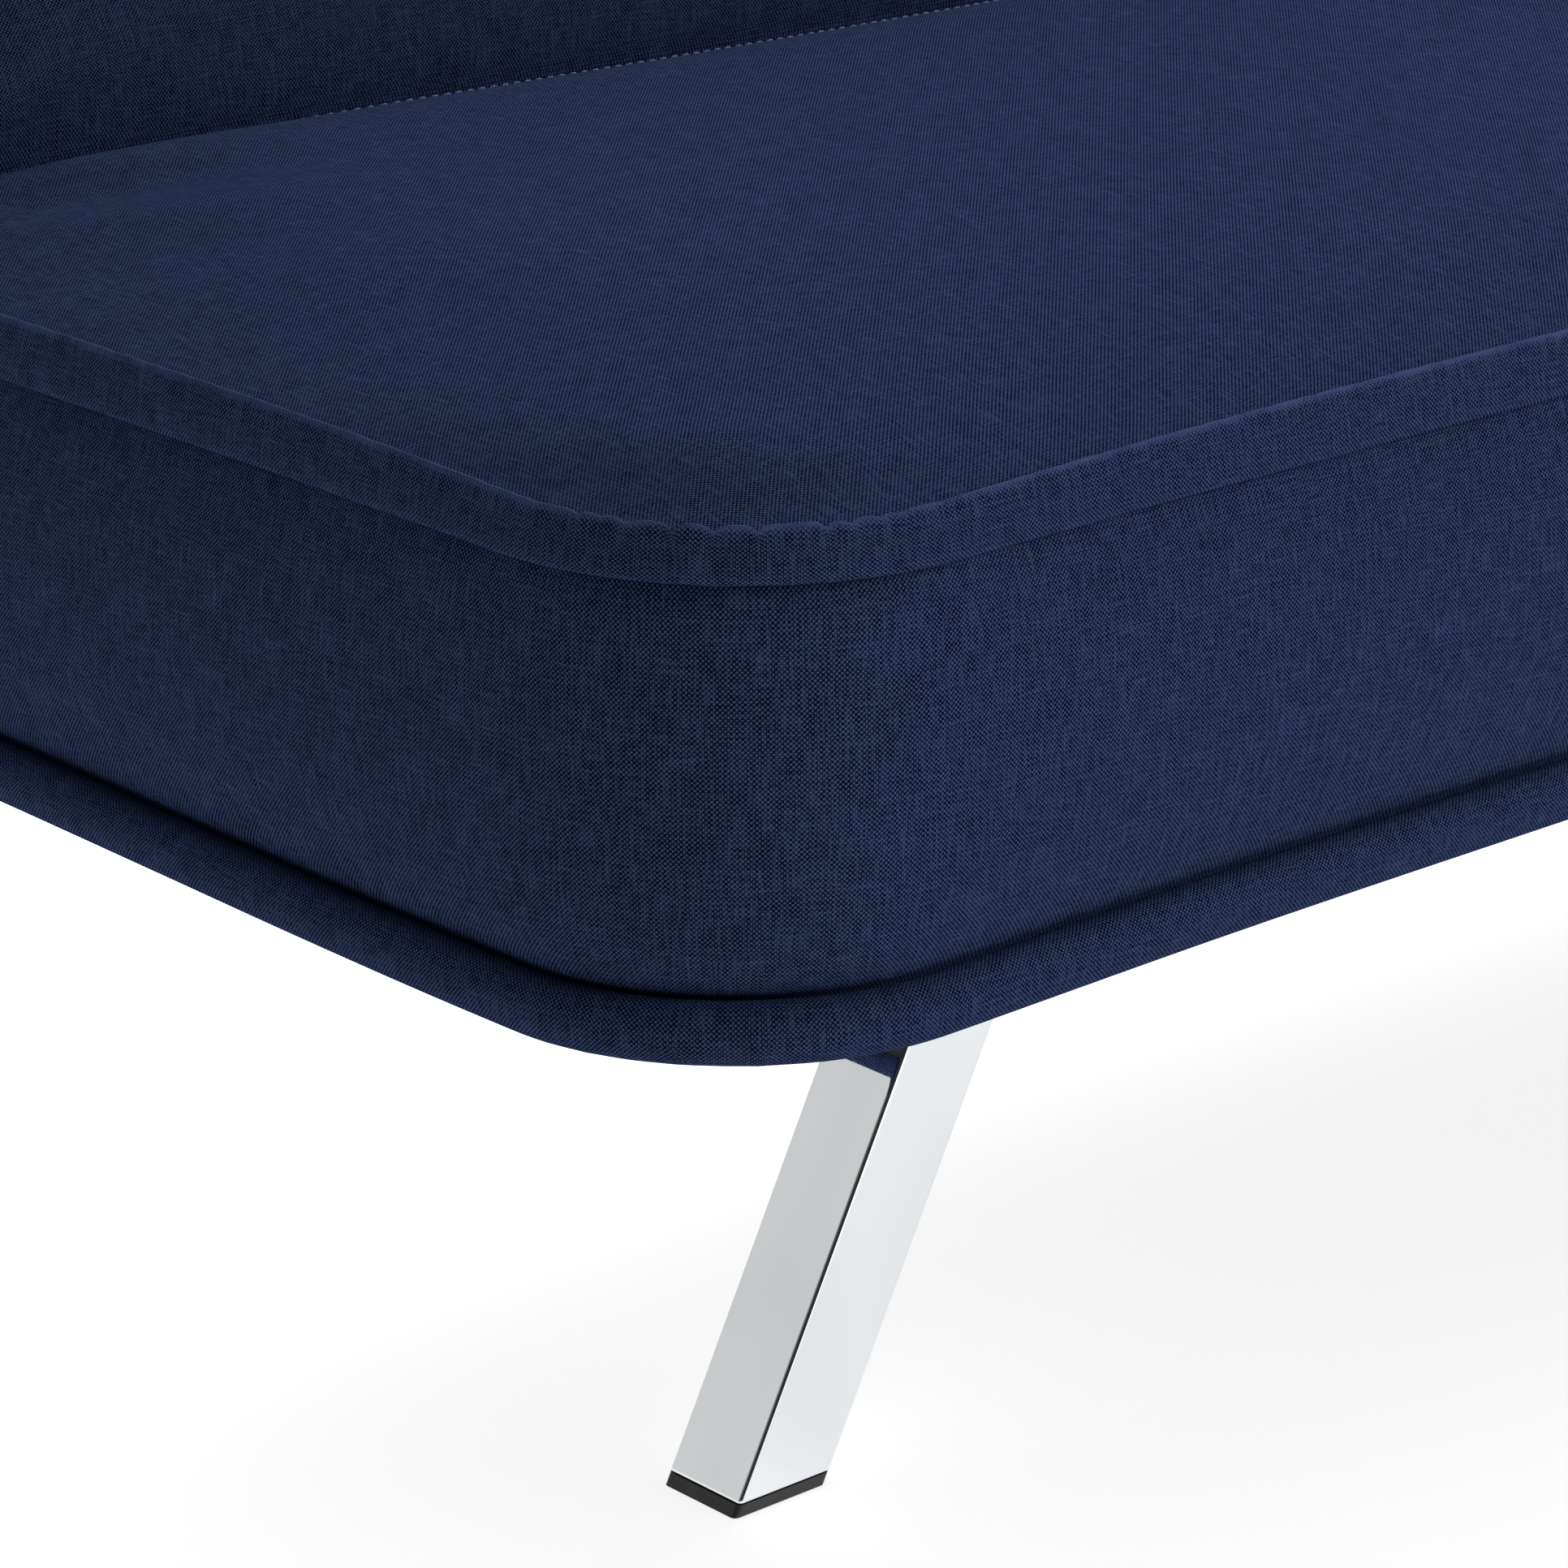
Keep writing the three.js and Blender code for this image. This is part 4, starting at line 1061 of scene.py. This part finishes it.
def build_leg(row, side):
    """One chrome leg in place of its CAD tube, splayed along the sofa's length."""
    name = f"leg_{row}_{side}"
    low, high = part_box(name)
    inward = 1 if side == "left" else -1
    middle_y = (low.y + high.y) / 2
    foot_low, foot_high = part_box(f"foot_cap_{row}_{side}")
    outer_x = foot_low.x if side == "left" else foot_high.x
    axis_x = outer_x + inward * LEG_TUBE / 2 / math.cos(LEG_SPLAY)
    section = leg_section()
    count = len(section)
    rim, bench = 0.4 * MM, 1.2 * MM
    heights = [low.z, low.z + rim, low.z + bench, high.z - bench, high.z - rim, high.z]
    insets = [rim, 0, 0, 0, 0, rim]
    vertices = []
    for height, inset in zip(heights, insets):
        scale = 1 - 2 * inset / LEG_TUBE
        for a, b in section:
            x = axis_x + scale * a / math.cos(LEG_SPLAY) + inward * height * math.tan(LEG_SPLAY)
            vertices.append((x, middle_y + scale * b, height))
    faces = wall_faces(len(heights), count)
    faces.append(list(range(count))[::-1])
    faces.append([(len(heights) - 1) * count + step for step in range(count)])
    obj = make_object(f"{name}_tube", vertices, faces)
    obj.data.polygons[-1].use_smooth = False
    obj.data.polygons[-2].use_smooth = False
    obj.data.materials.append(CHROME)
    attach(obj, "base")
    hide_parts(name)


# ---- Camera, light and floor -----------------------------------------------------------------

CAMERA_SIDE = (-0.67, -0.74, 0.0)  # level direction from the sofa towards the camera
FLOOR_REACH = 25.0
FLOOR_GLOW = 0.80


def build_camera():
    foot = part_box("foot_cap_front_left")[0]
    data = bpy.data.cameras.new("camera")
    data.lens = CAMERA_LENS
    data.sensor_width = 36.0
    data.clip_end = 50.0
    camera = bpy.data.objects.new("camera", data)
    level = math.cos(CAMERA_PITCH)
    direction = Vector((level * math.cos(CAMERA_HEADING), level * math.sin(CAMERA_HEADING),
                        -math.sin(CAMERA_PITCH)))
    camera.location = Vector((foot.x, foot.y, 0)) + CAMERA_FROM_FOOT
    camera.rotation_euler = direction.to_track_quat("-Z", "Y").to_euler()
    bpy.context.scene.collection.objects.link(camera)
    bpy.context.scene.camera = camera


def area_light(name, place, target, size, power, skips=None):
    """A soft rectangular light. One object may be left out of what it lights."""
    data = bpy.data.lights.new(name, "AREA")
    data.shape = "RECTANGLE"
    data.size, data.size_y = size
    data.energy = power
    light = bpy.data.objects.new(name, data)
    light.location = place
    light.rotation_euler = (Vector(target) - Vector(place)).to_track_quat("-Z", "Y").to_euler()
    bpy.context.scene.collection.objects.link(light)
    if skips is not None:
        skipped = bpy.data.collections.new(f"{name}_skips")
        skipped.objects.link(skips)
        light.light_linking.receiver_collection = skipped
        skipped.collection_objects[0].light_linking.link_state = "EXCLUDE"


def build_world():
    """A pale room that is darker on the camera's side, where the photographer stands."""
    world = bpy.data.worlds.new("studio")
    world.use_nodes = True
    tree = world.node_tree
    background = tree.nodes["Background"]
    background.inputs["Color"].default_value = (1.0, 1.0, 1.0, 1.0)
    direction = tree.nodes.new("ShaderNodeTexCoord").outputs["Generated"]
    facing = tree.nodes.new("ShaderNodeVectorMath")
    facing.operation = "DOT_PRODUCT"
    facing.inputs[1].default_value = CAMERA_SIDE
    tree.links.new(direction, facing.inputs[0])
    fade = tree.nodes.new("ShaderNodeMapRange")
    for socket, value in (("From Min", 0.1), ("From Max", 0.8), ("To Min", 0.46), ("To Max", 0.03)):
        fade.inputs[socket].default_value = value
    tree.links.new(facing.outputs["Value"], fade.inputs["Value"])
    tree.links.new(fade.outputs[0], background.inputs["Strength"])
    bpy.context.scene.world = world


def build_floor():
    """A plain pale floor that glows a little, as a lit backdrop does."""
    r = FLOOR_REACH
    floor = make_object("floor", [(-r, -r, 0), (r, -r, 0), (r, r, 0), (-r, r, 0)], [[0, 1, 2, 3]],
                        smooth=False)
    n = Nodes("pale_floor")
    place = n.node("ShaderNodeTexCoord").outputs["Object"]
    n.set(Base_Color=n.mix(n.noise(place, 3.0), (0.88, 0.88, 0.88, 1), (0.9, 0.9, 0.9, 1)))
    n.shader.inputs["Roughness"].default_value = 0.9
    n.shader.inputs["Emission Color"].default_value = (1.0, 1.0, 1.0, 1.0)
    n.shader.inputs["Emission Strength"].default_value = FLOOR_GLOW
    floor.data.materials.append(n.material)
    return floor


def build_studio():
    build_world()
    floor = build_floor()
    area_light("key", (3.9, 2.2, 3.7), (-0.4, -0.2, 0.3), (2.0, 2.0), 430)
    area_light("front", (1.8, -4.0, 2.3), (-0.2, -0.1, 0.4), (2.4, 1.8), 150, skips=floor)
    area_light("card", (-3.4, 3.0, 1.3), (-0.6, -0.2, 0.2), (3.4, 2.4), 6)
    bpy.context.scene.view_settings.view_transform = "Standard"


def finish_cad_nodes():
    """Gives each CAD node the procedural material of its slot in the record."""
    for entry in frame["record"]["subparts"]:
        node = frame["nodes"][entry["node"]]
        node.data.materials.clear()
        node.data.materials.append(CAD_FINISHES[entry["material_slot"]])


build_camera()
build_studio()
for pad, body in ((SEAT, "seat"), (BACK, "back")):
    build_cover(pad, body)
    build_welt(pad, body, "top_welt", TOP_WELT, pad.top, 0.9 * MM,
               lambda path, share: (FOLD_DROP - SEAM_DROP) * share + corner_drop(pad, path))
    build_welt(pad, body, "bottom_welt", BOTTOM_WELT, pad.bottom, 0.3 * MM,
               lambda path, share: side_sag(pad, path))
    build_dust_cover(pad, body)
build_topstitch(SEAT, "seat")
build_gussets()
for row in ("front", "rear"):
    for side in ("left", "right"):
        build_leg(row, side)
finish_cad_nodes()
